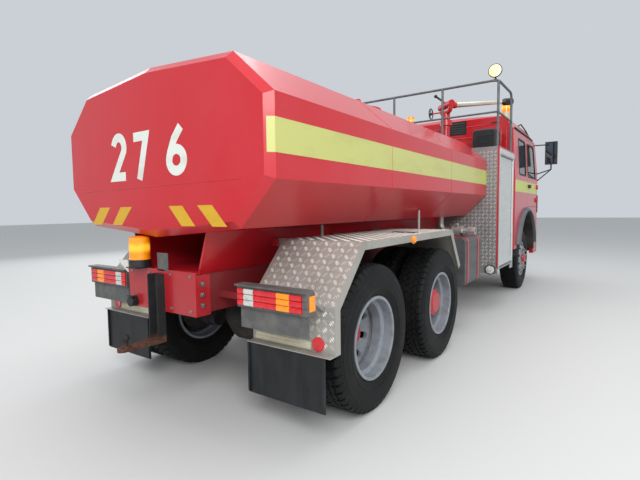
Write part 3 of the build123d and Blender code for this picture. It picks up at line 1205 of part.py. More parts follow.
DOOR_REAR_X = FRONT_AXLE_X + 40
DOOR_FRONT_X = CAB_FRONT_X - 240
DOOR_LOW = 1450
DOOR_HIGH = 2650
PILLAR_LEAN_X = 190
WINDOW_LOW = 1990
WINDOW_HIGH = 2570
SIDE_WINDOW_X = (CAB_REAR_X + 380, CAB_REAR_X + 960)


WALL_REACH = 190


def side_prism(points, corner):
    """A prism through each side wall, but not through the room, from an outline seen from the side."""
    with BuildPart() as prism:
        with BuildSketch(Plane.XZ) as outline:
            with BuildLine():
                Polyline(*points, close=True)
            make_face()
            fillet(outline.vertices(), corner)
        extrude(amount=CAB_OUT + 100, both=True)
        block((CAB_REAR_X, CAB_FRONT_X), (-CAB_OUT + WALL_REACH, CAB_OUT - WALL_REACH), (DOOR_LOW - 50, CAB_ROOF_TOP),
              Mode.SUBTRACT)
    return prism.part


def door_outline(gap):
    return [
        (DOOR_REAR_X + gap, DOOR_LOW + gap),
        (DOOR_FRONT_X - gap, DOOR_LOW + gap),
        (DOOR_FRONT_X - gap, CAB_BELT_Z + 20),
        (DOOR_FRONT_X - gap - PILLAR_LEAN_X, DOOR_HIGH - gap),
        (DOOR_REAR_X + gap, DOOR_HIGH - gap),
    ]


def window_outline(rear_x, front_low_x, front_high_x, gap):
    return [
        (rear_x + gap, WINDOW_LOW + gap),
        (front_low_x - gap, WINDOW_LOW + gap),
        (front_high_x - gap, WINDOW_HIGH - gap),
        (rear_x + gap, WINDOW_HIGH - gap),
    ]


DOOR_WINDOW = (DOOR_REAR_X + 85, DOOR_FRONT_X - 105, DOOR_FRONT_X - 245)
REAR_WINDOW = (SIDE_WINDOW_X[0], SIDE_WINDOW_X[1], SIDE_WINDOW_X[1])
SCREEN_OUT = 1060
SCREEN_LOW = 2010
SCREEN_HIGH = 2700


def screen_prism(gap):
    """A prism along the truck through the windscreen's place."""
    with BuildPart() as prism:
        with BuildSketch(Plane.YZ.offset(CAB_FRONT_X - 500)) as outline:
            with Locations((0, (SCREEN_LOW + SCREEN_HIGH) / 2)):
                RectangleRounded(2 * (SCREEN_OUT - gap), SCREEN_HIGH - SCREEN_LOW - 2 * gap, 60)
        extrude(amount=600)
    return prism.part


cab_outside = cab_body(0)
cab_inside = cab_body(CAB_WALL)
glass_outside = cab_body(GLASS_DEPTH)
glass_inside = cab_body(GLASS_DEPTH + GLASS_THICKNESS)
door_opening = side_prism(door_outline(0), 45)
door_leaf = side_prism(door_outline(DOOR_GAP), 40)
door_window = side_prism(window_outline(*DOOR_WINDOW, 0), 45)
door_pane = side_prism(window_outline(*DOOR_WINDOW, RUNNING_GAP), 45)
rear_window = side_prism(window_outline(*REAR_WINDOW, 0), 45)
rear_pane = side_prism(window_outline(*REAR_WINDOW, RUNNING_GAP), 45)
screen_opening = screen_prism(0)
screen_pane = screen_prism(RUNNING_GAP)

HINGE_X = DOOR_FRONT_X - DOOR_GAP - 12
HINGE_OUT = CAB_OUT + 18
HINGE_PIN = 8
HINGE_BARREL = 15
HINGE_ZS = (1590, 1840)
HINGE_HALF = 32

with BuildPart() as cab_room:
    add(cab_inside)
    block((CAB_REAR_X, CAB_FRONT_X), (-CAB_OUT, CAB_OUT), (CAB_FLOOR_Z - CAB_FLOOR_THICKNESS, CAB_FLOOR_Z),
          Mode.SUBTRACT)

with BuildPart() as cab_shell:
    add(cab_outside)
    block((CAB_REAR_X - 20, CAB_FRONT_X + 20), (-CAB_OUT - 20, CAB_OUT + 20), (CAB_BOTTOM - 400, CAB_BOTTOM),
          Mode.SUBTRACT)
    add(cab_room.part, mode=Mode.SUBTRACT)
    add(door_opening, mode=Mode.SUBTRACT)
    add(rear_window, mode=Mode.SUBTRACT)
    add(screen_opening, mode=Mode.SUBTRACT)
    block((CAB_REAR_X - 1, CAB_REAR_X + CAB_WALL + 1), (-CAB_OUT + CAB_WALL, CAB_OUT - CAB_WALL),
          (CAB_BOTTOM - 1, CAB_FLOOR_Z - CAB_FLOOR_THICKNESS), Mode.SUBTRACT)
    rod((FRONT_AXLE_X, -CAB_OUT - 20, ARCH_Z), (FRONT_AXLE_X, CAB_OUT + 20, ARCH_Z), ARCH_RADIUS, Mode.SUBTRACT)
    for side in (1, -1):
        for hinge_z in HINGE_ZS:
            rod((HINGE_X, side * HINGE_OUT, hinge_z - HINGE_HALF - 18), (HINGE_X, side * HINGE_OUT, hinge_z + HINGE_HALF),
                HINGE_PIN)
            rod((HINGE_X, side * HINGE_OUT, hinge_z - HINGE_HALF - 18),
                (HINGE_X, side * HINGE_OUT, hinge_z - HINGE_HALF - RUNNING_GAP), HINGE_BARREL)
            side_block(side, (HINGE_X, HINGE_X + 60), (CAB_OUT + DOOR_GAP, HINGE_OUT + 6),
                       (hinge_z - HINGE_HALF - 18, hinge_z - HINGE_HALF - RUNNING_GAP))
            side_block(side, (DOOR_FRONT_X + 2, HINGE_X + 60), (CAB_OUT - 2, HINGE_OUT + 6),
                       (hinge_z - HINGE_HALF - 18, hinge_z - HINGE_HALF - RUNNING_GAP))
finish(cab_shell.part, "cab_shell")

# Doors, cut from the same wall, each with its hinge barrels on the pillar's pins

for side_name, side in SIDES:
    with BuildPart() as door:
        add(cab_outside)
        add(cab_inside, mode=Mode.SUBTRACT)
        add(door_leaf, mode=Mode.INTERSECT)
        add(door_window, mode=Mode.SUBTRACT)
        side_block(side, (DOOR_REAR_X - 10, DOOR_FRONT_X + 10), (-CAB_OUT - 50, 0), (DOOR_LOW - 10, DOOR_HIGH + 10),
                   Mode.SUBTRACT)
        for hinge_z in HINGE_ZS:
            rod((HINGE_X, side * HINGE_OUT, hinge_z - HINGE_HALF), (HINGE_X, side * HINGE_OUT, hinge_z + HINGE_HALF),
                HINGE_BARREL)
            side_block(side, (HINGE_X - 70, HINGE_X), (CAB_OUT - 2, HINGE_OUT + 6),
                       (hinge_z - HINGE_HALF, hinge_z + HINGE_HALF))
            rod((HINGE_X, side * HINGE_OUT, hinge_z - HINGE_HALF - 1), (HINGE_X, side * HINGE_OUT, hinge_z + HINGE_HALF + 1),
                HINGE_PIN + RUNNING_GAP, Mode.SUBTRACT)
        side_block(side, (DOOR_REAR_X + 70, DOOR_REAR_X + 230), (CAB_OUT - 1, CAB_OUT + 28), (1795, 1840))
    finish(door.part, f"cab_door_{side_name}")
    with BuildPart() as pane:
        add(glass_outside)
        add(glass_inside, mode=Mode.SUBTRACT)
        add(door_pane, mode=Mode.INTERSECT)
        side_block(side, (DOOR_REAR_X - 10, DOOR_FRONT_X + 10), (-CAB_OUT - 50, 0), (DOOR_LOW - 10, DOOR_HIGH + 10),
                   Mode.SUBTRACT)
    finish(pane.part, f"door_glass_{side_name}")

with BuildPart() as side_panes:
    add(glass_outside)
    add(glass_inside, mode=Mode.SUBTRACT)
    add(rear_pane, mode=Mode.INTERSECT)
with BuildPart() as screen:
    add(glass_outside)
    add(glass_inside, mode=Mode.SUBTRACT)
    add(screen_pane, mode=Mode.INTERSECT)
with BuildPart() as cab_glass:
    add(side_panes.part)
    add(screen.part)
finish(cab_glass.part, "cab_glass")

# Bumper, a box section that wraps the corners, with a pocket for each headlamp

BUMPER_LOW = 560
BUMPER_FRONT_X = CAB_FRONT_X + 110
BUMPER_REAR_X = FRONT_AXLE_X + ARCH_RADIUS + 30
BUMPER_OUT = 1235
BUMPER_WALL = 70
BUMPER_HIGH = CAB_BOTTOM + 190
LAMP_OUT = (780, 1080)
HEADLAMP_Z = (690, 870)
GRILLE_OUT = 900
GRILLE_LOW = BUMPER_HIGH + 60
GRILLE_HIGH = 1640

with BuildPart() as bumper:
    with BuildSketch(Plane.XY.offset(BUMPER_LOW)) as ring:
        with Locations(((BUMPER_REAR_X + BUMPER_FRONT_X) / 2, 0)):
            Rectangle(BUMPER_FRONT_X - BUMPER_REAR_X, 2 * BUMPER_OUT)
        fillet(ring.vertices().group_by(Axis.X)[-1], 170)
        with Locations(((BUMPER_REAR_X + CAB_FRONT_X) / 2 - 1, 0)):
            Rectangle(CAB_FRONT_X - BUMPER_REAR_X + 2, 2 * (BUMPER_OUT - BUMPER_WALL), mode=Mode.SUBTRACT)
    extrude(amount=BUMPER_HIGH - BUMPER_LOW)
    block((BUMPER_REAR_X - 10, CAB_FRONT_X), (-BUMPER_OUT - 10, BUMPER_OUT + 10), (CAB_BOTTOM, BUMPER_HIGH + 10),
          Mode.SUBTRACT)
    for side in (1, -1):
        side_block(side, (BUMPER_FRONT_X - 60, BUMPER_FRONT_X + 10), LAMP_OUT, HEADLAMP_Z, Mode.SUBTRACT)
        side_block(side, (FRAME_FRONT_X, CAB_FRONT_X + 1), (RAIL_OUT - 60, RAIL_OUT), (CAB_BOTTOM - 100, CAB_BOTTOM))
finish(bumper.part, "bumper")

with BuildPart() as headlamps:
    for side in (1, -1):
        side_block(side, (BUMPER_FRONT_X - 60, BUMPER_FRONT_X - 8), (LAMP_OUT[0] + 0.3, LAMP_OUT[1] - 0.3),
                   (HEADLAMP_Z[0] + 0.3, HEADLAMP_Z[1] - 0.3))
finish(headlamps.part, "headlamps")

# Grille, slats in a frame on the cab's front

SLATS = 7

with BuildPart() as grille:
    block((CAB_FRONT_X, CAB_FRONT_X + 36), (-GRILLE_OUT, GRILLE_OUT), (GRILLE_LOW, GRILLE_HIGH))
    block((CAB_FRONT_X + 10, CAB_FRONT_X + 40), (-GRILLE_OUT + 30, GRILLE_OUT - 30), (GRILLE_LOW + 30, GRILLE_HIGH - 30),
          Mode.SUBTRACT)
    for index in range(SLATS):
        slat_z = GRILLE_LOW + (index + 1) * (GRILLE_HIGH - GRILLE_LOW) / (SLATS + 1)
        block((CAB_FRONT_X + 8, CAB_FRONT_X + 34), (-GRILLE_OUT + 20, GRILLE_OUT - 20), (slat_z - 14, slat_z + 14))
finish(grille.part, "grille")

# Mirrors, each on one upper arm and two lower arms in a V

MIRROR_X = CAB_FRONT_X + 60
MIRROR_Y = 1450
MIRROR_ZS = (2290, 2730)
ARM_FOOT_X = CAB_FRONT_X - 110

with BuildPart() as mirrors:
    for side in (1, -1):
        side_block(side, (MIRROR_X - 50, MIRROR_X + 50), (MIRROR_Y - 105, MIRROR_Y + 105), MIRROR_ZS)
        rod((MIRROR_X, side * MIRROR_Y, 2180), (MIRROR_X, side * MIRROR_Y, 2300), 13)
        rod((MIRROR_X, side * MIRROR_Y, 2680), (MIRROR_X - 340, side * 1140, 2640), 11)
        for foot_z in (2100, 1960):
            rod((MIRROR_X, side * MIRROR_Y, 2190), (ARM_FOOT_X, side * 1225, foot_z), 11)
    add(cab_outside, mode=Mode.SUBTRACT)
finish(mirrors.part, "mirrors")

# Seats, each a pedestal with cushion and back, and the dashboard with column and steering wheel

SEAT_X = DOOR_REAR_X + 120

with BuildPart() as seats:
    for seat_y in (640, -640):
        block((SEAT_X + 60, SEAT_X + 420), (seat_y - 200, seat_y + 200), (CAB_FLOOR_Z, CAB_FLOOR_Z + 260))
        block((SEAT_X, SEAT_X + 500), (seat_y - 250, seat_y + 250), (CAB_FLOOR_Z + 255, CAB_FLOOR_Z + 400))
        block((SEAT_X - 60, SEAT_X + 70), (seat_y - 240, seat_y + 240), (CAB_FLOOR_Z + 300, CAB_FLOOR_Z + 980))
    block((CAB_REAR_X + CAB_WALL + 10, CAB_REAR_X + 620), (-900, 900), (CAB_FLOOR_Z, CAB_FLOOR_Z + 400))
finish(seats.part, "seats")

dash_room = cab_body(CAB_WALL + RUNNING_GAP)
WHEEL_PLACE = Plane(origin=(CAB_FRONT_X - 620, 640, CAB_FLOOR_Z + 620), z_dir=(-0.5, 0, 0.87))

with BuildPart() as dashboard:
    block((CAB_FRONT_X - 420, CAB_FRONT_X - CAB_WALL - 1), (-1120, 1120), (CAB_FLOOR_Z + 250, CAB_BELT_Z + 60))
    with Locations(WHEEL_PLACE):
        Torus(225, 17)
        Cylinder(45, 30)
        for turn in (0, 120, 240):
            with Locations(Location((0, 0, 0), (0, 0, turn))):
                Box(225, 30, 14, align=(Align.MIN, Align.CENTER, Align.CENTER))
    rod(tuple(WHEEL_PLACE.origin), (CAB_FRONT_X - 300, 640, CAB_FLOOR_Z + 320), 32)
    rod((CAB_FRONT_X - 300, 0, CAB_FLOOR_Z), (CAB_FRONT_X - 300, 0, CAB_FLOOR_Z + 300), 60)
    add(dash_room, mode=Mode.INTERSECT)
finish(dashboard.part, "dashboard")

# Arch liners, a curved sheet inside each front wheel arch

LINER_INNER_OUT = 560
LINER_THICKNESS = 10

with BuildPart() as arch_liners:
    for side in (1, -1):
        with BuildSketch(Plane.XZ.offset(-side * LINER_INNER_OUT)):
            with Locations((FRONT_AXLE_X, ARCH_Z)):
                Circle(ARCH_RADIUS - RUNNING_GAP)
                Circle(ARCH_RADIUS - LINER_THICKNESS, mode=Mode.SUBTRACT)
            with Locations((FRONT_AXLE_X, ARCH_Z + 60)):
                Rectangle(3 * ARCH_RADIUS, 2 * ARCH_RADIUS, align=(Align.CENTER, Align.MAX), mode=Mode.SUBTRACT)
        extrude(amount=-side * (CAB_OUT + 12 - LINER_INNER_OUT))
finish(arch_liners.part, "arch_liners")

# Amber beacons, two on the roof and one under the tank's tail

BEACON_X = FRONT_AXLE_X - 120
BEACON_OUT = 895
BEACON_RADIUS = 75
TAIL_BEACON_X = FRAME_REAR_X - 30
TAIL_BEACON_Y = 200
ROOF_AT_BEACON = CAB_ROOF_TOP - 12 - (CAB_ROOF_TOP - CAB_ROOF_EDGE_Z) * (BEACON_OUT / CAB_ROOF_EDGE_OUT) ** 2

with BuildPart() as beacons:
    for side in (1, -1):
        place = (BEACON_X, side * BEACON_OUT)
        rod((*place, ROOF_AT_BEACON - 30), (*place, 3120), BEACON_RADIUS)
        rod((*place, 3110), (*place, 3270), BEACON_RADIUS - 6)
    add(cab_outside, mode=Mode.SUBTRACT)
    rod((TAIL_BEACON_X, TAIL_BEACON_Y, BEAM_HIGH + 6), (TAIL_BEACON_X, TAIL_BEACON_Y, BEAM_HIGH + 60), BEACON_RADIUS)
    rod((TAIL_BEACON_X, TAIL_BEACON_Y, BEAM_HIGH + 50), (TAIL_BEACON_X, TAIL_BEACON_Y, BEAM_HIGH + 215), BEACON_RADIUS - 6)
    block((TAIL_BEACON_X - 70, FRAME_REAR_X), (TAIL_BEACON_Y - 70, TAIL_BEACON_Y + 70), (BEAM_HIGH, BEAM_HIGH + 7))
finish(beacons.part, "amber_beacons")

os.makedirs("parts", exist_ok=True)
for piece in finished:
    export_step(piece, f"parts/{piece.label}.step")
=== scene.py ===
import math

import bmesh
import bpy
from mathutils import Matrix, Vector


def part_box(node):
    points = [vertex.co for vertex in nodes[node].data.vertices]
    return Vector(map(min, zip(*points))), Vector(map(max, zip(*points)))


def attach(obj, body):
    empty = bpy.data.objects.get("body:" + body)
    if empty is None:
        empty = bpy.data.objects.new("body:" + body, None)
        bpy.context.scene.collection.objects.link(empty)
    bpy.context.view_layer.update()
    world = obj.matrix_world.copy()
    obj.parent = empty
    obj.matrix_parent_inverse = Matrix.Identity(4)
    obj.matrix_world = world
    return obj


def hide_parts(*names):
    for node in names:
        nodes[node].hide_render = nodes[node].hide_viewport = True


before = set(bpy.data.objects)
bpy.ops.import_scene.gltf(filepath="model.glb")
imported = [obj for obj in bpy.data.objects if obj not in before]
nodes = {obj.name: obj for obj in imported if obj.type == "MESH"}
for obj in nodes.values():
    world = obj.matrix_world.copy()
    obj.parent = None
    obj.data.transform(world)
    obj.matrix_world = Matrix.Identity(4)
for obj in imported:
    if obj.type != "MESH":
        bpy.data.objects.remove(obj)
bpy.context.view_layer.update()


# Studio
# A camera behind the truck's right rear corner, where the photograph was taken from, a pale painted floor,
# and large soft lamps overhead, behind the camera and along the right side.
CAMERA_PLACE = Vector((-5.586, -2.618, 1.447))
CAMERA_HEADING = math.radians(35.11)
CAMERA_PITCH = math.radians(-4.03)
CAMERA_ROLL = math.radians(-0.729)
FOCAL_PIXELS = 428.17
FRAME_PIXELS = 640
FLOOR_HALF = 60.0
SKY_STRENGTH = 0.75

# place, aim, side of the square lamp, watts
LAMPS = {
    "behind_camera": ((-11.0, -7.0, 7.5), (-1.0, 0.0, 1.2), 7.0, 1300),
    "overhead": ((0.0, 0.0, 9.5), (0.0, 0.0, 0.0), 9.0, 520),
    "right_side": ((3.0, -11.0, 6.0), (0.0, 0.0, 1.2), 7.0, 60),
    "left_side": ((2.0, 11.0, 6.0), (0.0, 0.0, 1.2), 7.0, 300),
}


def colour(code):
    """An sRGB hex colour as linear values."""
    parts = [int(code[index:index + 2], 16) / 255 for index in (0, 2, 4)]
    return tuple(p / 12.92 if p <= 0.04045 else ((p + 0.055) / 1.055) ** 2.4 for p in parts) + (1.0,)


def add(tree, kind, settings=None, links=None):
    """Adds a node. settings are its own properties; links give a socket a value or another node's output."""
    made = tree.nodes.new(kind)
    for key, value in (settings or {}).items():
        setattr(made, key, value)
    for key, value in (links or {}).items():
        if isinstance(value, bpy.types.NodeSocket):
            tree.links.new(value, made.inputs[key])
        else:
            made.inputs[key].default_value = value
    return made


def material(name, settings):
    """A new material with those values on its shader, with its node tree, shader and object coordinates."""
    made = bpy.data.materials.new(name)
    made.use_nodes = True
    tree = made.node_tree
    shader = tree.nodes["Principled BSDF"]
    for key, value in settings.items():
        shader.inputs[key].default_value = value
    return made, tree, shader, add(tree, "ShaderNodeTexCoord").outputs["Object"]


camera = bpy.data.objects.new("camera", bpy.data.cameras.new("camera"))
bpy.context.scene.collection.objects.link(camera)
camera.data.sensor_width = 36
camera.data.lens = camera.data.sensor_width * FOCAL_PIXELS / FRAME_PIXELS
forward = Vector((math.cos(CAMERA_HEADING) * math.cos(CAMERA_PITCH),
                  math.sin(CAMERA_HEADING) * math.cos(CAMERA_PITCH), math.sin(CAMERA_PITCH)))
level_right = forward.cross(Vector((0, 0, 1))).normalized()
level_up = level_right.cross(forward)
rolled_right = math.cos(CAMERA_ROLL) * level_right + math.sin(CAMERA_ROLL) * level_up
rolled_up = math.cos(CAMERA_ROLL) * level_up - math.sin(CAMERA_ROLL) * level_right
turned_to = Matrix((rolled_right, rolled_up, -forward)).transposed().to_4x4()
camera.matrix_world = Matrix.Translation(CAMERA_PLACE) @ turned_to
bpy.context.scene.camera = camera

world = bpy.data.worlds.new("studio")
world.use_nodes = True
world.node_tree.nodes["Background"].inputs["Color"].default_value = colour("e6ecf3")
world.node_tree.nodes["Background"].inputs["Strength"].default_value = SKY_STRENGTH
bpy.context.scene.world = world
bpy.context.scene.view_settings.view_transform = "Standard"

for lamp_name, (lamp_place, lamp_aim, lamp_side, watts) in LAMPS.items():
    lamp = bpy.data.objects.new(lamp_name, bpy.data.lights.new(lamp_name, "AREA"))
    bpy.context.scene.collection.objects.link(lamp)
    lamp.data.size = lamp_side
    lamp.data.energy = watts
    lamp.location = lamp_place
    lamp.rotation_euler = (Vector(lamp_place) - Vector(lamp_aim)).to_track_quat("Z", "Y").to_euler()

floor_mesh = bpy.data.meshes.new("floor")
floor_mesh.from_pydata([(FLOOR_HALF * x, FLOOR_HALF * y, 0) for x, y in ((-1, -1), (1, -1), (1, 1), (-1, 1))],
                       [], [(0, 1, 2, 3)])
floor = bpy.data.objects.new("floor", floor_mesh)
bpy.context.scene.collection.objects.link(floor)
floor_paint = material("pale_floor_paint", {"Base Color": colour("c9c9c7"), "Roughness": 0.8})[0]
floor_mesh.materials.append(floor_paint)


# Water tank
# A ten-sided welded steel vessel, sprayed outside in gloss fire red enamel, with its seams ground down to low
# beads. The enamel has a faint orange peel and chalked patches, and carries road film low down.
SIDES = (("left", 1), ("right", -1))
PEEL_PITCH = 0.012
FILM_TOP = 1.5
FILM_BOTTOM = 0.4


def patches(tree, place, first, second, scale, start, end, stretch=(1.0, 1.0, 1.0)):
    """The first colour with patches of the second, where a noise of that scale lies between start and end."""
    placed = add(tree, "ShaderNodeMapping", links={"Vector": place, "Scale": stretch})
    blot = add(tree, "ShaderNodeTexNoise", links={"Vector": placed.outputs[0], "Scale": scale, "Detail": 6.0,
                                                  "Roughness": 0.62})
    share = add(tree, "ShaderNodeMapRange", links={
        "Value": blot.outputs["Fac"], "From Min": start, "From Max": end})
    mixed = add(tree, "ShaderNodeMix", {"data_type": "RGBA"}, {
        "Factor": share.outputs[0], 6: colour(first), 7: colour(second)})
    return mixed.outputs[2]


def surface(tree, shader, place, tone, scale, strength, depth):
    """Puts a colour on the shader, and a fine relief of that scale on its normal."""
    tree.links.new(tone, shader.inputs["Base Color"])
    noise = add(tree, "ShaderNodeTexNoise", links={"Vector": place, "Scale": scale, "Detail": 3.0})
    relief = add(tree, "ShaderNodeBump", links={"Height": noise.outputs["Fac"], "Strength": strength,
                                                "Distance": depth})
    tree.links.new(relief.outputs[0], shader.inputs["Normal"])


def sprayed_enamel(name, fresh, chalked, film, roughness, dirt):
    """Sprayed coach enamel: an even gloss with chalked patches and a film of dirt low down."""
    made, tree, shader, place = material(name, {
        "Roughness": roughness, "Coat Weight": 0.35, "Coat Roughness": 0.1})
    tone = patches(tree, place, fresh, chalked, 0.8, 0.48, 0.85)
    drawn_out = add(tree, "ShaderNodeMapping", links={"Vector": place, "Scale": (9.0, 9.0, 0.8)})
    streaks = add(tree, "ShaderNodeTexNoise", links={
        "Vector": drawn_out.outputs[0], "Scale": 1.0, "Detail": 6.0, "Roughness": 0.65})
    height = add(tree, "ShaderNodeSeparateXYZ", links={"Vector": place})
    low_down = add(tree, "ShaderNodeMapRange", links={
        "Value": height.outputs["Z"], "From Min": FILM_TOP, "From Max": FILM_BOTTOM, "To Min": 0.12 * dirt,
        "To Max": dirt})
    share = add(tree, "ShaderNodeMath", {"operation": "MULTIPLY"}, {
        0: low_down.outputs[0], 1: streaks.outputs["Fac"]})
    dirtied = add(tree, "ShaderNodeMix", {"data_type": "RGBA"}, {
        "Factor": share.outputs[0], 6: tone, 7: colour(film)})
    surface(tree, shader, place, dirtied.outputs[2], 1 / PEEL_PITCH, 0.05, 0.001)
    return made


def dress(finish, *names):
    """Gives CAD nodes their finish."""
    for name in names:
        for own_slot in nodes[name].material_slots:
            own_slot.material = finish


def close_shape(shape, name, finish, body="chassis", smooth=32):
    """Makes a shape a piece that moves with a body. Edges flatter than smooth degrees are shaded as round."""
    bmesh.ops.recalc_face_normals(shape, faces=shape.faces)
    mesh = bpy.data.meshes.new(name)
    shape.to_mesh(mesh)
    shape.free()
    mesh.materials.append(finish)
    mesh.shade_smooth()
    mesh.set_sharp_from_angle(angle=math.radians(smooth))
    made = bpy.data.objects.new(name, mesh)
    bpy.context.scene.collection.objects.link(made)
    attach(made, body)
    return made


def prism(shape, outline, through):
    """A prism from a flat outline of points, moved along a vector."""
    near = [shape.verts.new(Vector(point)) for point in outline]
    far = [shape.verts.new(Vector(point) + Vector(through)) for point in outline]
    shape.faces.new(near)
    shape.faces.new(far[::-1])
    for index in range(len(near)):
        following = (index + 1) % len(near)
        shape.faces.new((near[index], far[index], far[following], near[following]))


def block(shape, first, second):
    """A block between two opposite corners."""
    (x, y, z), (far_x, far_y, far_z) = first, second
    prism(shape, [(x, y, z), (far_x, y, z), (far_x, far_y, z), (x, far_y, z)], (0, 0, far_z - z))


def skin(shape, rings):
    """Faces from each ring of corners to the next."""
    for near, far in zip(rings, rings[1:]):
        for index in range(len(near)):
            corners = (near[index - 1], near[index], far[index], far[index - 1])
            shape.faces.new(list(dict.fromkeys(corners)))


def turned(shape, profile, start, along, steps):
    """Turns a profile, listed as (distance along, radius), about a line from start."""
    axis = Vector(along).normalized()
    across = axis.orthogonal().normalized()
    upward = axis.cross(across)
    turns = [2 * math.pi * index / steps for index in range(steps)]
    ways = [math.cos(turn) * across + math.sin(turn) * upward for turn in turns]
    rings = []
    for distance, radius in profile:
        centre = Vector(start) + axis * distance
        if radius == 0:
            rings.append([shape.verts.new(centre)] * steps)
        else:
            rings.append([shape.verts.new(centre + radius * way) for way in ways])
    skin(shape, rings)


def turned_piece(name, finish, profile, start, along, steps, smooth=32, body="chassis"):
    """A turned shape that is a piece of its own."""
    shape = bmesh.new()
    turned(shape, profile, start, along, steps)
    close_shape(shape, name, finish, body, smooth)


def rod(shape, start, run, radius, steps):
    """A round rod from start along run, as long as run is."""
    length = Vector(run).length
    turned(shape, [(0, 0), (0, radius), (length, radius), (length, 0)], start, run, steps)


fire_red = sprayed_enamel("sprayed_fire_red_enamel", "bf0e1c", "c2303c", "45201c", 0.3, 0.7)
dress(fire_red, "water_tank", "tank_lid", "tank_cradle")
tank_low, tank_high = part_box("water_tank")
TANK_HALF_WIDTH = tank_high.y
TANK_LOWER_KNUCKLE = 1.619
TANK_UPPER_KNUCKLE = 2.087
TANK_SHOULDER = (0.789, 2.354)
TANK_CORNER = (0.815, 1.343)
TANK_BEVEL = 0.045
SHEET_LENGTH = 1.48
BEAD_RADIUS = 0.0024
REAR_BEAD_RADIUS = 0.004
REAR_BEAD_START = (0.93, TANK_LOWER_KNUCKLE - 0.01)
REAR_BEAD_LENGTH = 1.8
REAR_BEAD_SLOPE = 0.012

weld = bmesh.new()
for side in (1, -1):
    seam = [(side * y, z) for y, z in (TANK_SHOULDER, (TANK_HALF_WIDTH, TANK_UPPER_KNUCKLE),
                                       (TANK_HALF_WIDTH, TANK_LOWER_KNUCKLE), TANK_CORNER)]
    for seam_x in (tank_low.x + SHEET_LENGTH, tank_low.x + 2 * SHEET_LENGTH):
        for (near_y, near_z), (far_y, far_z) in zip(seam, seam[1:]):
            rod(weld, (seam_x, near_y, near_z), (0, far_y - near_y, far_z - near_z), BEAD_RADIUS, 8)
rod(weld, (tank_low.x, *REAR_BEAD_START), REAR_BEAD_LENGTH * Vector((0, -1, REAR_BEAD_SLOPE)).normalized(),
    REAR_BEAD_RADIUS, 8)
close_shape(weld, "tank_weld_beads", fire_red)


# Tank markings
# Self-adhesive reflective film: a yellow band along each side in three lengths, ochre hazard bars low on the
# rear face and white numerals. Tiny glass beads under its face give it a flat, even, slightly grainy look.
STRIPE_ZS = (1.76, 1.95)
STRIPE_JOIN = 2.2
GREEN_LENGTH = 0.2
FOLD_SHARES = (0.25, 0.99)
FILM_THICKNESS = 0.001
FILM_GAP = 0.0015
SUNK = 0.0005
DIGIT_STROKE = 0.062
SHARPEST_MITRE = 0.45
BAR_ZS = (1.355, 1.484)
# left edge and right edge at the top, then at the bottom, as distances to the left of the middle
HAZARD_BARS = [(0.648, 0.506, 0.765, 0.631), (0.365, 0.22, 0.48, 0.354), (-0.204, -0.342, -0.33, -0.462),
               (-0.488, -0.62, -0.62, -0.748)]
# numeral, left edge, right edge, lower edge, upper edge
NUMERALS = [("2", 0.446, 0.264, 1.676, 2.004), ("7", 0.184, -0.004, 1.67, 1.985),
            ("6", -0.2, -0.4, 1.685, 1.995)]


def two_tone(name, settings, tones, relief):
    """A material with patches of two colours and a fine relief."""
    made, tree, shader, place = material(name, settings)
    surface(tree, shader, place, patches(tree, place, *tones), *relief)
    return made


def reflective_film(name, body, soiled):
    """Beaded film: flat and even, a little soiled, with a fine cell grain."""
    return two_tone(name, {"Roughness": 0.42, "Coat Weight": 0.3, "Coat Roughness": 0.25},
                    (body, soiled, 3.0, 0.5, 0.9, (1, 1, 3)), (700.0, 0.08, 0.0004))


yellow_film = reflective_film("yellow_reflective_film", "bfc06f", "aeab64")
green_film = reflective_film("fresh_yellow_green_film", "c6cc58", "b9be5a")
ochre_film = reflective_film("ochre_reflective_film", "cc9f12", "b0861b")
white_film = reflective_film("white_reflective_film", "d8dcd4", "bdbdb2")

stripe_joins = (tank_low.x + TANK_BEVEL, tank_low.x + STRIPE_JOIN, tank_high.x - GREEN_LENGTH, tank_high.x)
for side_name, side in SIDES:
    for length_name, film, first_x, last_x in (("rear", yellow_film, *stripe_joins[0:2]),
                                               ("middle", yellow_film, *stripe_joins[1:3]),
                                               ("front", green_film, *stripe_joins[2:4])):
        stripe = bmesh.new()
        block(stripe, (first_x, side * (TANK_HALF_WIDTH - SUNK), STRIPE_ZS[0]),
              (last_x - FILM_GAP, side * (TANK_HALF_WIDTH + FILM_THICKNESS), STRIPE_ZS[1]))
        close_shape(stripe, f"tank_stripe_{length_name}_{side_name}", film)
    # The band's rear end is folded over the tank's bevelled edge.
    fold = bmesh.new()
    outward = Vector((-1, side, 0)).normalized()
    bevel_start = Vector((tank_low.x, side * (TANK_HALF_WIDTH - TANK_BEVEL), 0)) - outward * SUNK
    first, last = [bevel_start + Vector((TANK_BEVEL, side * TANK_BEVEL, 0)) * share for share in FOLD_SHARES]
    lift, raised = [Vector((0, 0, z)) for z in STRIPE_ZS]
    prism(fold, [first + lift, last + lift, last + raised, first + raised], outward * (FILM_THICKNESS + SUNK))
    close_shape(fold, f"tank_stripe_fold_{side_name}", yellow_film)

bars = bmesh.new()
for top_left, top_right, bottom_left, bottom_right in HAZARD_BARS:
    upper = [(tank_low.x + SUNK, y, BAR_ZS[1]) for y in (top_left, top_right)]
    lower = [(tank_low.x + SUNK, y, BAR_ZS[0]) for y in (bottom_right, bottom_left)]
    prism(bars, upper + lower, (-FILM_THICKNESS - SUNK, 0, 0))
close_shape(bars, "rear_hazard_bars", ochre_film)


def arc(centre, radius, start, end, steps):
    """Points along an arc in a flat drawing; a radius is (across, up) and angles are in degrees."""
    return [(centre[0] + radius[0] * math.cos(math.radians(start + (end - start) * index / steps)),
             centre[1] + radius[1] * math.sin(math.radians(start + (end - start) * index / steps)))
            for index in range(steps + 1)]


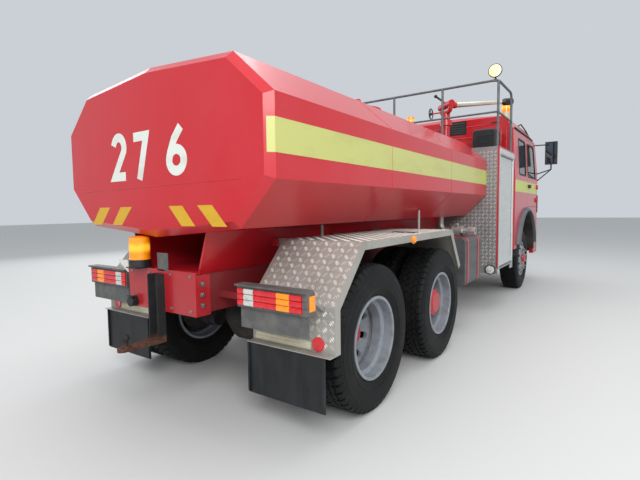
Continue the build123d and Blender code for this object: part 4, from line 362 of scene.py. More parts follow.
def numeral_strokes(numeral):
    """The middle lines of a plain block numeral, in a drawing one wide and one high."""
    if numeral == "2":
        return [arc((0.5, 0.7), (0.37, 0.23), 165, -20, 12) + [(0.14, 0.08), (0.92, 0.08)]]
    if numeral == "7":
        return [[(0.1, 0.93), (0.88, 0.93), (0.4, 0.0)]]
    return [arc((0.5, 0.29), (0.37, 0.22), 90, 450, 32),
            [(0.76, 0.95), (0.42, 0.72), (0.2, 0.45), (0.14, 0.3)]]


def ribbon(shape, line, width, to_place, through):
    """A flat band of that width along a drawn line, with mitred corners. It closes if the line does."""
    def rim(index):
        here = Vector(line[index])
        before = (here - Vector(line[index - 1])).normalized() if index else None
        after = (Vector(line[index + 1]) - here).normalized() if index + 1 < len(line) else None
        normals = [Vector((-way.y, way.x)) for way in (before, after) if way]
        middle = sum(normals, Vector((0, 0))).normalized()
        reach = width / 2 / max(SHARPEST_MITRE, middle.dot(normals[0]))
        return here + middle * reach, here - middle * reach

    closed = (Vector(line[0]) - Vector(line[-1])).length < 0.0001
    rings = []
    for index in range(len(line) - 1 if closed else len(line)):
        left, right = rim(index)
        corners = [Vector(to_place(left)), Vector(to_place(right))]
        corners += [corners[1] + Vector(through), corners[0] + Vector(through)]
        rings.append([shape.verts.new(corner) for corner in corners])
    if closed:
        skin(shape, rings + [rings[0]])
    else:
        skin(shape, rings)
        shape.faces.new(rings[0])
        shape.faces.new(rings[-1][::-1])


for numeral, left_y, right_y, low_z, high_z in NUMERALS:
    figure = bmesh.new()
    for layer, line in enumerate(numeral_strokes(numeral)):
        drawn = [(x * (left_y - right_y), z * (high_z - low_z)) for x, z in line]
        ribbon(figure, drawn, DIGIT_STROKE,
               lambda point: (tank_low.x + SUNK, left_y - point[0], low_z + point[1]),
               (-FILM_THICKNESS * (1 + 0.3 * layer) - SUNK, 0, 0))
    close_shape(figure, f"rear_numeral_{numeral}", white_film)


# Tyres
# Radial truck tyres moulded in black rubber. Staggered blocks run round the tread between straight grooves,
# and the sidewall has raised rings. The rubber is dull and a little brown with road dust.
TYRE_RADIUS = 0.53
WHEEL_Z = 0.53
TREAD_PITCHES = 52
CROSS_GROOVE_DEPTH = 0.0119
# distance from the middle, depth under the tread, whether cross grooves cut it, shear as a share of the pitch
TREAD_ROWS = [
    (0.000, 0.000, 0, 0.00), (0.012, 0.000, 1, 0.10), (0.030, 0.000, 1, 0.32), (0.033, 0.013, 0, 0.36),
    (0.041, 0.013, 0, 0.40), (0.044, 0.000, 1, 0.55), (0.062, 0.000, 1, 0.75), (0.077, 0.000, 1, 0.62),
    (0.080, 0.013, 0, 0.58), (0.087, 0.013, 0, 0.55), (0.090, 0.001, 1, 0.50), (0.112, 0.003, 1, 0.42),
    (0.124, 0.012, 1, 0.36), (0.131, 0.028, 1, 0.34), (0.137, 0.044, 0, 0.34),
]
# distance from the middle, radius
SIDEWALL = [
    (0.1405, 0.470), (0.1410, 0.466), (0.1440, 0.463), (0.1445, 0.456), (0.1440, 0.452), (0.1475, 0.425),
    (0.1478, 0.400), (0.1455, 0.372), (0.1470, 0.369), (0.1465, 0.362), (0.1420, 0.358), (0.1330, 0.333),
    (0.1230, 0.314), (0.1240, 0.309), (0.1150, 0.298), (0.1060, 0.2905), (0.1040, 0.2868),
]
# share of a pitch where each column of the mesh lies, and whether it is the bottom of a cross groove
TREAD_COLUMNS = [(0.00, 1), (0.20, 1), (0.24, 0), (0.96, 0)]


def tyre(shape, wheel_x, centre_y):
    """One tyre about a wheel's axis."""
    half = [(offset, TYRE_RADIUS - drop, cut, shear) for offset, drop, cut, shear in TREAD_ROWS]
    half += [(offset, radius, 0, TREAD_ROWS[-1][3]) for offset, radius in SIDEWALL]
    rows = [(-offset, radius, cut, shear + 0.5) for offset, radius, cut, shear in half[:0:-1]] + half
    rings = []
    for offset, radius, cut, shear in rows:
        ring = []
        for pitch in range(TREAD_PITCHES):
            for share, bottom in TREAD_COLUMNS:
                turn = 2 * math.pi * (pitch + share + shear) / TREAD_PITCHES
                out = radius - CROSS_GROOVE_DEPTH if cut and bottom else radius
                ring.append(shape.verts.new((wheel_x + out * math.cos(turn), centre_y + offset,
                                             WHEEL_Z + out * math.sin(turn))))
        rings.append(ring)
    skin(shape, rings + [rings[0]])


tyre_rubber = two_tone("moulded_tyre_rubber", {"Roughness": 0.62, "Specular IOR Level": 0.25},
                       ("0a0b0c", "1d1c1a", 7.0, 0.5, 0.8), (220.0, 0.15, 0.001))

# node, body, places of its tyres' middles
TYRE_NODES = [("rear_tyres", "rear_wheels", (0.754, 1.084)), ("drive_tyres", "drive_wheels", (0.754, 1.084)),
              ("front_tyre", "front_wheel", (1.045,))]
AXLE_XS = {}
for node_start, body_start, outs in TYRE_NODES:
    for side_name, side in SIDES:
        low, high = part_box(f"{node_start}_{side_name}")
        AXLE_XS[body_start] = (low.x + high.x) / 2
        casings = bmesh.new()
        for out in outs:
            tyre(casings, AXLE_XS[body_start], side * out)
        treaded = close_shape(casings, f"treaded_{node_start}_{side_name}", tyre_rubber,
                              f"{body_start}_{side_name}", 24)
        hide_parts(f"{node_start}_{side_name}")


# Rims and hubs
# Pressed steel disc wheels in silver stoving enamel on cast hubs painted red. The enamel is smooth with brake
# dust in its corners, the drum behind the disc is bare dark iron, and ten nuts hold the disc.
DUST_SCALE = 14.0
NUT_CIRCLE = 0.1675
NUTS = 10
DRUM_RADIUS = 0.222
NUT_PROFILE = [(0, 0), (0, 0.024), (0.005, 0.024), (0.005, 0.018), (0.026, 0.018), (0.03, 0.014),
               (0.03, 0.011), (0.036, 0.010), (0.036, 0)]


def wheel_enamel(name, wheel_x, hub_radius, drum_out):
    """Silver outside the hub's radius, red inside it and dark iron on the drum."""
    made, tree, shader, place = material(name, {"Roughness": 0.36, "Coat Weight": 0.25})
    moved = add(tree, "ShaderNodeVectorMath", {"operation": "SUBTRACT"}, {0: place, 1: (wheel_x, 0, WHEEL_Z)})
    parts = add(tree, "ShaderNodeSeparateXYZ", links={"Vector": moved.outputs[0]})
    flat = add(tree, "ShaderNodeCombineXYZ", links={"X": parts.outputs["X"], "Z": parts.outputs["Z"]})
    radius = add(tree, "ShaderNodeVectorMath", {"operation": "LENGTH"}, {0: flat.outputs[0]}).outputs["Value"]
    out = add(tree, "ShaderNodeMath", {"operation": "ABSOLUTE"}, {0: parts.outputs["Y"]}).outputs[0]
    silver = patches(tree, place, "7f848b", "5f5e5c", DUST_SCALE, 0.48, 0.85)
    red = patches(tree, place, "b5202a", "7d3a33", DUST_SCALE, 0.45, 0.8)
    iron = patches(tree, place, "2b2927", "4a3a30", DUST_SCALE, 0.45, 0.8)
    in_hub = add(tree, "ShaderNodeMath", {"operation": "LESS_THAN"}, {0: radius, 1: hub_radius})
    on_drum = add(tree, "ShaderNodeMath", {"operation": "LESS_THAN"}, {0: out, 1: drum_out})
    below = add(tree, "ShaderNodeMath", {"operation": "LESS_THAN"}, {0: radius, 1: DRUM_RADIUS})
    both = add(tree, "ShaderNodeMath", {"operation": "MULTIPLY"}, {
        0: on_drum.outputs[0], 1: below.outputs[0]})
    hubbed = add(tree, "ShaderNodeMix", {"data_type": "RGBA"}, {
        "Factor": in_hub.outputs[0], 6: silver, 7: red})
    done = add(tree, "ShaderNodeMix", {"data_type": "RGBA"}, {
        "Factor": both.outputs[0], 6: hubbed.outputs[2], 7: iron})
    surface(tree, shader, place, done.outputs[2], 90.0, 0.05, 0.001)
    return made


zinc_nut = two_tone("zinc_plated_steel", {"Metallic": 1.0, "Roughness": 0.38},
                    ("a9abad", "6f6a63", 25.0, 0.45, 0.8), (260.0, 0.08, 0.0005))

# rims node, body, radius of the red hub, how far out the drum ends, how far out the disc's face lies
RIM_NODES = [("rear_rims", "rear_wheels", 0.126, 0.905, 0.932),
             ("drive_rims", "drive_wheels", 0.151, 0.905, 0.932),
             ("front_rim", "front_wheel", 0.096, 1.181, 1.195)]
for node_start, body_start, hub_radius, drum_out, face_out in RIM_NODES:
    wheel_x = AXLE_XS[body_start]
    enamel = wheel_enamel(f"silver_wheel_enamel_{body_start}", wheel_x, hub_radius, drum_out)
    for side_name, side in SIDES:
        dress(enamel, f"{node_start}_{side_name}")
        wheel_nuts = bmesh.new()
        for index in range(NUTS):
            turn = 2 * math.pi * (index + 0.5) / NUTS
            spot = (wheel_x + NUT_CIRCLE * math.cos(turn), side * (face_out - 0.001),
                    WHEEL_Z + NUT_CIRCLE * math.sin(turn))
            turned(wheel_nuts, NUT_PROFILE, spot, (0, side, 0), 12)
        close_shape(wheel_nuts, f"{body_start}_nuts_{side_name}", zinc_nut, f"{body_start}_{side_name}")


# Axles, springs and steering
# Forged and cast steel under black chassis paint, dulled by grey-brown road dirt. The springs are clamped and
# the axles and shafts bolted.
chassis_black = two_tone("dirty_black_chassis_paint", {"Roughness": 0.7},
                         ("1b1a19", "4a4239", 5.0, 0.42, 0.8), (60.0, 0.25, 0.002))
dress(chassis_black, "rear_axles", "front_axle", "knuckle_left", "knuckle_right", "track_rod", "leaf_springs",
      "engine", "drive_shafts", "air_tanks", "arch_liners")


# Chassis frame and rear beam
# Folded steel channel and plate, bolted together and painted red with the body. The rear beam is gloss red
# with zinc plated bolts, and the rails further forward are dark with dirt.
frame_red = sprayed_enamel("dirty_red_frame_enamel", "86121b", "6d2a28", "231a17", 0.5, 1.0)
beam_red = sprayed_enamel("red_beam_enamel", "ae1420", "b02c36", "3b211d", 0.34, 0.5)
dress(frame_red, "chassis_frame")
dress(beam_red, "rear_beam")
beam_low, beam_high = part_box("rear_beam")


def bolt(shape, place, along, across):
    """A washer and a six-sided head on a face at place, standing out along a direction."""
    washer = [(0, 0), (0, 0.75), (0.12, 0.75), (0.12, 0)]
    head = [(0, 0), (0, 0.56), (0.6, 0.56), (0.66, 0.48), (0.66, 0)]
    for profile, steps in ((washer, 16), (head, 6)):
        turned(shape, [(across * height, across * radius) for height, radius in profile], place, along, steps)


beam_bolts = bmesh.new()
for side in (1, -1):
    for bolt_z in (0.829, 0.899, 0.969):
        bolt(beam_bolts, (beam_low.x + 0.055, side * beam_high.y, bolt_z), (0, side, 0), 0.024)
    for bolt_y, bolt_z in ((0.33, 1.02), (0.33, 0.79), (0.12, 1.02), (0.12, 0.79)):
        bolt(beam_bolts, (beam_low.x + 0.003, side * bolt_y, bolt_z), (-1, 0, 0), 0.014)
close_shape(beam_bolts, "rear_beam_bolts", zinc_nut)


# Tow bracket
# A black painted channel bolted upright on the rear beam. Its foot carries a forged plate and ball that have
# rusted brown.
RUST_ZS = (0.60, 0.58)
TOW_PLATE_THICKNESS = 0.010
rusty_black, tree, shader, place = material("rusted_black_steel", {"Roughness": 0.75})
height = add(tree, "ShaderNodeSeparateXYZ", links={"Vector": place})
rust = patches(tree, place, "3d241a", "6a3d29", 30.0, 0.4, 0.7)
black = patches(tree, place, "131416", "35302c", 8.0, 0.5, 0.85)
rusting = add(tree, "ShaderNodeMapRange", links={
    "Value": height.outputs["Z"], "From Min": RUST_ZS[0], "From Max": RUST_ZS[1]})
mixed = add(tree, "ShaderNodeMix", {"data_type": "RGBA"}, {"Factor": rusting.outputs[0], 6: black, 7: rust})
surface(tree, shader, place, mixed.outputs[2], 150.0, 0.4, 0.001)
dress(rusty_black, "tow_bracket")
tow_bolts = bmesh.new()
for bolt_z in (0.62, 0.72, 0.88, 0.97):
    bolt(tow_bolts, (beam_low.x - TOW_PLATE_THICKNESS, 0, bolt_z), (-1, 0, 0), 0.022)
close_shape(tow_bolts, "tow_bracket_bolts", zinc_nut)


# Trailer socket
# A round moulded nylon socket with a sprung cap, screwed to the rear beam on a short neck.
SOCKET_PLACE = Vector((beam_low.x + 0.003, 0.309, 0.793))
SOCKET_PROFILE = [(-0.002, 0), (-0.002, 0.042), (0.006, 0.042), (0.006, 0.030), (0.028, 0.031),
                  (0.030, 0.037), (0.046, 0.037), (0.050, 0.033), (0.050, 0)]
moulded_black = two_tone("moulded_black_plastic", {"Roughness": 0.5}, ("141517", "2c2b29", 12.0, 0.5, 0.85),
                         (400.0, 0.15, 0.0006))
socket = bmesh.new()
turned(socket, SOCKET_PROFILE, SOCKET_PLACE, (-1, 0, 0), 28)
rod(socket, SOCKET_PLACE + Vector((-0.039, -0.035, 0.04)), (0, 0.07, 0), 0.008, 10)
close_shape(socket, "trailer_socket", moulded_black)


# Mudguards
# Folded from bright aluminium tread plate, with a flange along the outer edge. Its raised bars stand in
# threes that turn by a quarter from one group to the next, 36 mm long where real ones are about 25 mm.
PLATE_PITCH = 0.050
BAR_REACH = 0.018
BAR_WIDTH = 0.008
BAR_RISE = 0.003
OFF_SHEET = 0.0001
GUARD_OUTS = (0.576, 1.243)


def tread_bars(shape, corner, along, across, counts, keep=None):
    """Raised bars over a flat patch from its corner. counts are the groups each way."""
    outward = along.cross(across)
    for column in range(counts[0]):
        for row in range(counts[1]):
            middle = corner + along * (column + 0.5) * PLATE_PITCH + across * (row + 0.5) * PLATE_PITCH
            if keep and not keep(middle):
                continue
            lean = 1 if (column + row) % 2 else -1
            way = (along + lean * across).normalized()
            sideways = (across - lean * along).normalized()
            # The middle bar of a group is the longest. Each ends in points and has a ridge along its middle.
            for place_in_group, reach in ((-1, 0.72 * BAR_REACH), (0, BAR_REACH), (1, 0.72 * BAR_REACH)):
                start = middle + sideways * place_in_group * BAR_WIDTH * 1.75
                half = sideways * BAR_WIDTH / 2
                end = way * reach
                rise = outward * BAR_RISE
                low_end, high_end, left, right, front, back = [shape.verts.new(start + offset) for offset in (
                    -end, end, half, -half, end * 0.55 + rise, rise - end * 0.55)]
                for corners in ((left, high_end, front), (right, front, high_end), (left, front, back),
                                (right, back, front), (left, back, low_end), (right, low_end, back),
                                (low_end, right, high_end, left)):
                    shape.faces.new(corners)


def bright_plate(name, clean, soiled):
    """Rolled aluminium: a soft sheen with grey oxide and dried road water that has run down it."""
    return two_tone(name, {"Metallic": 0.35, "Roughness": 0.5}, (clean, soiled, 3.0, 0.45, 0.9, (2, 2, 1)),
                    (180.0, 0.12, 0.0008))


guard_plate = bright_plate("aluminium_tread_plate", "a7a49d", "8d877e")
# The bars are painted brighter than the sheet between them: a painted highlight standing for the light their
# ridges catch.
highlit_bars = bright_plate("aluminium_bars_painted_highlight", "d2cfc7", "aeaaa2")
dress(guard_plate, "mudguards")
guard_low, guard_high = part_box("mudguards")
GUARD_TAIL_X = guard_low.x + 0.060
guard_line = [(GUARD_TAIL_X, 0.571), (GUARD_TAIL_X, 0.861), (guard_low.x + 0.400, 1.234),
              (guard_high.x - 0.272, 1.234), (guard_high.x, 0.850)]
for side_name, side in SIDES:
    guard_bars = bmesh.new()
    for (near_x, near_z), (far_x, far_z) in zip(guard_line, guard_line[1:]):
        run = Vector((far_x - near_x, 0, far_z - near_z))
        along = run.normalized()
        across = Vector((0, 1, 0))
        corner = Vector((near_x, min(side * out for out in GUARD_OUTS), near_z))
        corner += along.cross(across) * OFF_SHEET
        counts = (int(run.length / PLATE_PITCH), int((GUARD_OUTS[1] - GUARD_OUTS[0]) / PLATE_PITCH))
        corner += along * (run.length - counts[0] * PLATE_PITCH) / 2
        tread_bars(guard_bars, corner, along, across, counts)
    close_shape(guard_bars, f"mudguard_raised_bars_{side_name}", highlit_bars, smooth=20)

# Each guard's flange has a small amber marker lamp, and its tail a round red reflector.
amber_lens = two_tone("amber_acrylic_lens", {
    "Roughness": 0.16, "Coat Weight": 0.5, "Emission Color": colour("ff8a00"), "Emission Strength": 0.12},
    ("ef8f0c", "c96f08", 30.0, 0.45, 0.8), (160.0, 0.3, 0.001))
red_lens = two_tone("red_acrylic_lens", {
    "Roughness": 0.14, "Coat Weight": 0.6, "Emission Color": colour("ff1020"), "Emission Strength": 0.08},
    ("c9101c", "8f0a14", 30.0, 0.45, 0.8), (160.0, 0.3, 0.001))
MARKER_PROFILE = [(0, 0), (0, 0.034), (0.008, 0.034), (0.010, 0.028), (0.022, 0.025), (0.027, 0.014),
                  (0.028, 0)]
REFLECTOR_PROFILE = [(0, 0), (0, 0.045), (0.008, 0.045), (0.010, 0.040), (0.009, 0.038), (0.009, 0)]
for side_name, side in SIDES:
    turned_piece(f"guard_marker_lamp_{side_name}", amber_lens, MARKER_PROFILE,
                 (guard_high.x - 1.249, side * (guard_high.y - 0.002), 1.197), (0, side, 0), 24, 50)
    # The reflector shares the red lens's faint emission, a painted glow, though it has no lamp.
    turned_piece(f"round_reflector_{side_name}", red_lens, REFLECTOR_PROFILE,
                 (GUARD_TAIL_X, side * 1.12, 0.623), (-1, 0, 0), 32, 50)

# Galvanised steel is for the bars tied to the guards and the cabinet. Its zinc has set in spangles.
galvanised, tree, shader, place = material("galvanised_steel", {"Metallic": 0.85, "Roughness": 0.45})
spangle = add(tree, "ShaderNodeTexVoronoi", links={"Vector": place, "Scale": 60.0})
tone = add(tree, "ShaderNodeMix", {"data_type": "RGBA"}, {
    "Factor": spangle.outputs["Distance"], 6: colour("9da1a4"), 7: colour("c3c5c4")})
surface(tree, shader, place, tone.outputs[2], 120.0, 0.08, 0.0008)


# Mud flaps
# Black rubber sheets hung under the guards' tails, with a folded rib along each side edge. Their faces are
# bare, a cream enamelled strip clamps their tops, and a rubber grip lies over each guard.
flap_rubber = two_tone("sheet_rubber", {"Roughness": 0.55, "Specular IOR Level": 0.4},
                       ("121417", "26292c", 3.0, 0.4, 0.8, (1, 4, 1)), (90.0, 0.12, 0.001))
dress(flap_rubber, "mud_flaps")
STRIP_OUTS = (0.60, 1.06)
STRIP_PROFILE = [(0.0, 0.578), (-0.006, 0.580), (-0.010, 0.590), (-0.010, 0.602), (-0.004, 0.610),
                 (-0.004, 0.628), (0.0, 0.630)]
STRIP_X = GUARD_TAIL_X + 2 * OFF_SHEET
GRIP_OUTS = (0.92, 1.14)
GRIP_PROFILE = [(-2.043, 1.2335), (-2.035, 1.2405), (-1.961, 1.2405), (-1.953, 1.2335)]
clamp_strips = bmesh.new()
grips = bmesh.new()
for side in (1, -1):
    prism(clamp_strips, [(STRIP_X + back, side * STRIP_OUTS[0], z) for back, z in STRIP_PROFILE],
          (0, side * (STRIP_OUTS[1] - STRIP_OUTS[0]), 0))
    prism(grips, [(x, side * GRIP_OUTS[0], z) for x, z in GRIP_PROFILE],
          (0, side * (GRIP_OUTS[1] - GRIP_OUTS[0]), 0))
aged_cream = two_tone("aged_cream_enamel", {"Roughness": 0.5}, ("d3cdb2", "a39a82", 6.0, 0.45, 0.85),
                      (150.0, 0.12, 0.0008))
close_shape(clamp_strips, "flap_clamp_strips", aged_cream)
close_shape(grips, "guard_top_grips", flap_rubber)


# Tail lamps
# One long lamp on each side: a hooded grey moulded housing with a ribbed acrylic lens in five lengths, an
# amber marker on its outer end and a bare dark plate under it.
LENS_START = 0.018
LENS_GAP = 0.0015
# colour and where the lens ends, as a share of the lamp from its inner end
LENS_ENDS = [("red", 0.115), ("white", 0.265), ("red", 0.6), ("amber", 0.78), ("red", 0.94)]
LENS_BANDS = 3
housing_grey = two_tone("moulded_grey_housing", {"Roughness": 0.55}, ("4f504f", "6a6863", 10.0, 0.45, 0.8),
                        (300.0, 0.15, 0.0006))
white_lens = two_tone("white_acrylic_lens", {"Roughness": 0.18, "Coat Weight": 0.5},
                      ("c9cac5", "a19f99", 30.0, 0.45, 0.8), (160.0, 0.3, 0.001))
dress(housing_grey, "tail_lamps")
lamp_low, lamp_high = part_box("tail_lamps")
LAMP_OUTS = (0.63, lamp_high.y)
LAMP_FACE_X = lamp_low.x + 0.025
LENS_ZS = (0.852, 0.962)
BAND = (LENS_ZS[1] - LENS_ZS[0]) / LENS_BANDS
# distance behind the lamp's face, share of a band's height
BAND_PROFILE = [(0.002, 0), (-0.009, 0.08), (-0.013, 0.5), (-0.009, 0.92), (0.002, 0.99)]
lens_finishes = {"red": red_lens, "white": white_lens, "amber": amber_lens}
for side_name, side in SIDES:
    inner = LENS_START
    for index, (lens_colour, lens_end) in enumerate(LENS_ENDS):
        lens = bmesh.new()
        outs = [LAMP_OUTS[0] + share * (LAMP_OUTS[1] - LAMP_OUTS[0]) for share in (inner, lens_end)]
        for row in range(LENS_BANDS):
            prism(lens, [(LAMP_FACE_X + back, side * outs[0], LENS_ZS[0] + BAND * (row + share))
                         for back, share in BAND_PROFILE], (0, side * (outs[1] - outs[0] - LENS_GAP), 0))
        close_shape(lens, f"tail_lens_{index + 1}_{lens_colour}_{side_name}", lens_finishes[lens_colour])
        inner = lens_end
    end_marker = bmesh.new()
    block(end_marker, (LAMP_FACE_X + 0.020, side * (LAMP_OUTS[1] - 0.001), 0.865),
          (LAMP_FACE_X + 0.075, side * (LAMP_OUTS[1] + 0.005), 0.955))
    close_shape(end_marker, f"tail_lamp_end_marker_{side_name}", amber_lens)


# Rear fittings
# On the rear beam beside the beacon stand a bare grey sheet steel plate and a white enamelled gusset, and a
# square galvanised bar ties each tail lamp to its guard. All are bolted through the beam or the lamp's back.
white_enamel = two_tone("worn_white_enamel", {"Roughness": 0.4, "Coat Weight": 0.2},
                        ("d3d2cc", "8f8a80", 16.0, 0.5, 0.85), (150.0, 0.12, 0.0008))
BEAM_FACE_X = beam_low.x + 0.004
GUSSET_CORNERS = [(0.385, 1.0), (0.385, 1.09), (0.527, 1.09)]
TIE_BAR_OUT = 1.16
TIE_BAR_ZS = (0.93, 0.84)
gusset = bmesh.new()
prism(gusset, [(BEAM_FACE_X, y, z) for y, z in GUSSET_CORNERS], (-0.006, 0, 0))
close_shape(gusset, "rear_beam_gusset", white_enamel)
bare_plate = bmesh.new()
block(bare_plate, (BEAM_FACE_X, 0.018, 1.04), (BEAM_FACE_X - 0.004, -0.1, 1.165))
close_shape(bare_plate, "rear_bare_plate", housing_grey)
for side_name, side in SIDES:
    tie_bar = bmesh.new()
    tie_start = Vector((lamp_high.x - 0.01, side * TIE_BAR_OUT, TIE_BAR_ZS[0]))
    tie_end = Vector((GUARD_TAIL_X + 0.002, side * TIE_BAR_OUT, TIE_BAR_ZS[1]))
    rod(tie_bar, tie_start, tie_end - tie_start, 0.014, 4)
    close_shape(tie_bar, f"tail_lamp_tie_bar_{side_name}", galvanised)


# Beacons
# Amber moulded domes with fine rings inside, each turned onto a rubber base: cream on the roof, black at the
# tail. The lamp inside lights the middle of the dome.
TAIL_FOOT_Z = 1.111
ROOF_FOOT_Z = 3.121
BETWEEN_FEET_Z = 2.0
BULB_ABOVE_FOOT = 0.085
GLOW_HALF_HEIGHT = 0.05
DOME_RINGS = 10
DOME_RING_PITCH = 0.012
DOME_CROWN = [(0.134, 0.0715), (0.154, 0.0705), (0.160, 0.060), (0.165, 0.042), (0.168, 0.018), (0.169, 0)]
# name, place of the dome's foot
BEACONS = [("roof_left", (2.627, 0.895, ROOF_FOOT_Z)), ("roof_right", (2.627, -0.895, ROOF_FOOT_Z)),
           ("tail", (-3.828, 0.2, TAIL_FOOT_Z))]
beacon_base, tree, shader, place = material("beacon_base_moulding", {"Roughness": 0.5})
height = add(tree, "ShaderNodeSeparateXYZ", links={"Vector": place}).outputs["Z"]
high_up, over_tail_base, over_roof_base = [
    add(tree, "ShaderNodeMath", {"operation": "GREATER_THAN"}, {0: height, 1: limit}).outputs[0]
    for limit in (BETWEEN_FEET_Z, TAIL_FOOT_Z, ROOF_FOOT_Z)]
cream = patches(tree, place, "cbbf9f", "8f836b", 20.0, 0.45, 0.8)
black = patches(tree, place, "141517", "34302c", 20.0, 0.45, 0.8)
amber = patches(tree, place, "e07a0a", "c96405", 20.0, 0.45, 0.8)
tail_tone = add(tree, "ShaderNodeMix", {"data_type": "RGBA"}, {"Factor": over_tail_base, 6: black, 7: amber})
roof_tone = add(tree, "ShaderNodeMix", {"data_type": "RGBA"}, {"Factor": over_roof_base, 6: cream, 7: amber})
based = add(tree, "ShaderNodeMix", {"data_type": "RGBA"}, {
    "Factor": high_up, 6: tail_tone.outputs[2], 7: roof_tone.outputs[2]})
surface(tree, shader, place, based.outputs[2], 200.0, 0.12, 0.0008)
dress(beacon_base, "amber_beacons")
beacon_amber, tree, shader, place = material("amber_beacon_dome", {"Roughness": 0.12, "Coat Weight": 0.8})
surface(tree, shader, place, patches(tree, place, "f29a12", "d9780a", 18.0, 0.45, 0.8), 90.0, 0.25, 0.001)
height = add(tree, "ShaderNodeSeparateXYZ", links={"Vector": place}).outputs["Z"]
on_roof = add(tree, "ShaderNodeMath", {"operation": "GREATER_THAN"}, {0: height, 1: BETWEEN_FEET_Z})
bulb_height = add(tree, "ShaderNodeMath", {"operation": "MULTIPLY_ADD"}, {
    0: on_roof.outputs[0], 1: ROOF_FOOT_Z - TAIL_FOOT_Z, 2: TAIL_FOOT_Z + BULB_ABOVE_FOOT})
from_bulb = add(tree, "ShaderNodeMath", {"operation": "SUBTRACT"}, {0: height, 1: bulb_height.outputs[0]})
apart = add(tree, "ShaderNodeMath", {"operation": "ABSOLUTE"}, {0: from_bulb.outputs[0]})
nearness = add(tree, "ShaderNodeMapRange", {"interpolation_type": "SMOOTHERSTEP"}, {
    "Value": apart.outputs[0], "From Min": GLOW_HALF_HEIGHT, "From Max": 0.0})
glow = add(tree, "ShaderNodeMix", {"data_type": "RGBA"}, {
    "Factor": nearness.outputs[0], 6: colour("7a2a02"), 7: colour("ffb638")})
tree.links.new(glow.outputs[2], shader.inputs["Emission Color"])
shader.inputs["Emission Strength"].default_value = 0.8
dome_profile = [(0, 0), (0, 0.0735), (0.006, 0.0735)]
for ring in range(DOME_RINGS):
    ring_foot = 0.008 + ring * DOME_RING_PITCH
    dome_profile += [(ring_foot, 0.0705), (ring_foot + DOME_RING_PITCH / 2, 0.0722)]
dome_profile += DOME_CROWN
for beacon_name, foot in BEACONS:
    turned_piece(f"beacon_dome_{beacon_name}", beacon_amber, dome_profile, foot, (0, 0, 1), 40, 40)


# Fuel tank, outlet, silencer
# The fuel tank is rolled steel sheet in grey paint, held by two red painted straps with screws on top. The
# outlet valve is cast and nickel plated, and the silencer's aluminised steel has browned with heat.
tank_grey = two_tone("grey_painted_steel", {"Roughness": 0.5, "Coat Weight": 0.1},
                     ("4c5154", "3a3936", 4.0, 0.42, 0.8, (1, 1, 3)), (160.0, 0.1, 0.0008))
dress(tank_grey, "fuel_tank")
dress(beam_red, "fuel_straps")
cast_nickel = two_tone("nickel_plated_casting", {"Metallic": 0.6, "Roughness": 0.4},
                       ("c9c9c4", "8d8a82", 22.0, 0.45, 0.8), (140.0, 0.25, 0.001))
dress(cast_nickel, "outlet_pipe")
browned_steel = two_tone("heat_browned_steel", {"Metallic": 0.6, "Roughness": 0.6},
                         ("5b5048", "3c2a20", 9.0, 0.4, 0.75), (120.0, 0.3, 0.001))
dress(browned_steel, "silencer")
strap_low, strap_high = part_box("fuel_straps")
STRAP_HALF = 0.025
SCREW_Y = -1.02
strap_screws = bmesh.new()
for strap_x in (strap_low.x + STRAP_HALF, strap_high.x - STRAP_HALF):
    bolt(strap_screws, (strap_x, SCREW_Y, strap_high.z - 0.001), (0, 0, 1), 0.022)
    rod(strap_screws, (strap_x, SCREW_Y, strap_high.z), (0, 0, 0.05), 0.006, 8)
close_shape(strap_screws, "fuel_strap_screws", zinc_nut)


# Equipment cabinet
# A steel frame clad at the rear with aluminium tread plate, rolled bars outwards. Red angles close its
# corners, an aluminium channel frames each roller shutter, and a galvanised bar along the bottom is a step.
CABINET_OUT = 1.245
SHOULDER_SLOPE = 1.13
CRADLE_OUT = 0.45
CRADLE_TOP = 1.05
SEEN_PAST = 0.1
WALL_EDGE = 0.02
APRON_INNER = 0.95
APRON_BOTTOM = 0.53
TRIM = 0.018
TRIM_SHEET = 0.002
TRIM_OFF = 0.0015
cabinet_low, cabinet_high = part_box("equipment_cabinet")
# The cabinet's plate is a darker copy of the guards' plate. Its oxide patches are real, and its extra
# darkness is painted shade for the wall set back behind the tank.
shaded_cladding = bright_plate("tread_plate_oxide_and_painted_shade", "858484", "6b6a69")
dress(shaded_cladding, "equipment_cabinet")


def clear_of_tank(point):
    """Whether a place on the cabinet's rear wall can be seen past the end of the tank and its cradle."""
    above = max(0, point.z - TANK_UPPER_KNUCKLE) * SHOULDER_SLOPE
    below = max(0, TANK_LOWER_KNUCKLE - point.z)
    by_cradle = abs(point.y) <= CRADLE_OUT and point.z <= CRADLE_TOP
    return abs(point.y) > TANK_HALF_WIDTH - above - below - SEEN_PAST and not by_cradle


wall_bars = bmesh.new()
wall_counts = (int((cabinet_high.z - cabinet_low.z - WALL_EDGE) / PLATE_PITCH),
               int(2 * (CABINET_OUT - WALL_EDGE) / PLATE_PITCH))
wall_corner = Vector((cabinet_low.x - OFF_SHEET, WALL_EDGE - CABINET_OUT, cabinet_low.z + WALL_EDGE / 2))
tread_bars(wall_bars, wall_corner, Vector((0, 0, 1)), Vector((0, 1, 0)), wall_counts, clear_of_tank)
# The bars on the cabinet wall carry the same painted highlight.
close_shape(wall_bars, "cabinet_raised_bars", highlit_bars, smooth=20)
apron = bmesh.new()
for side in (1, -1):
    block(apron, (cabinet_low.x + 0.001, side * APRON_INNER, APRON_BOTTOM),
          (cabinet_low.x + 0.004, side * CABINET_OUT, cabinet_low.z + 0.01))
close_shape(apron, "cabinet_rear_aprons", shaded_cladding)

corner_trims = bmesh.new()
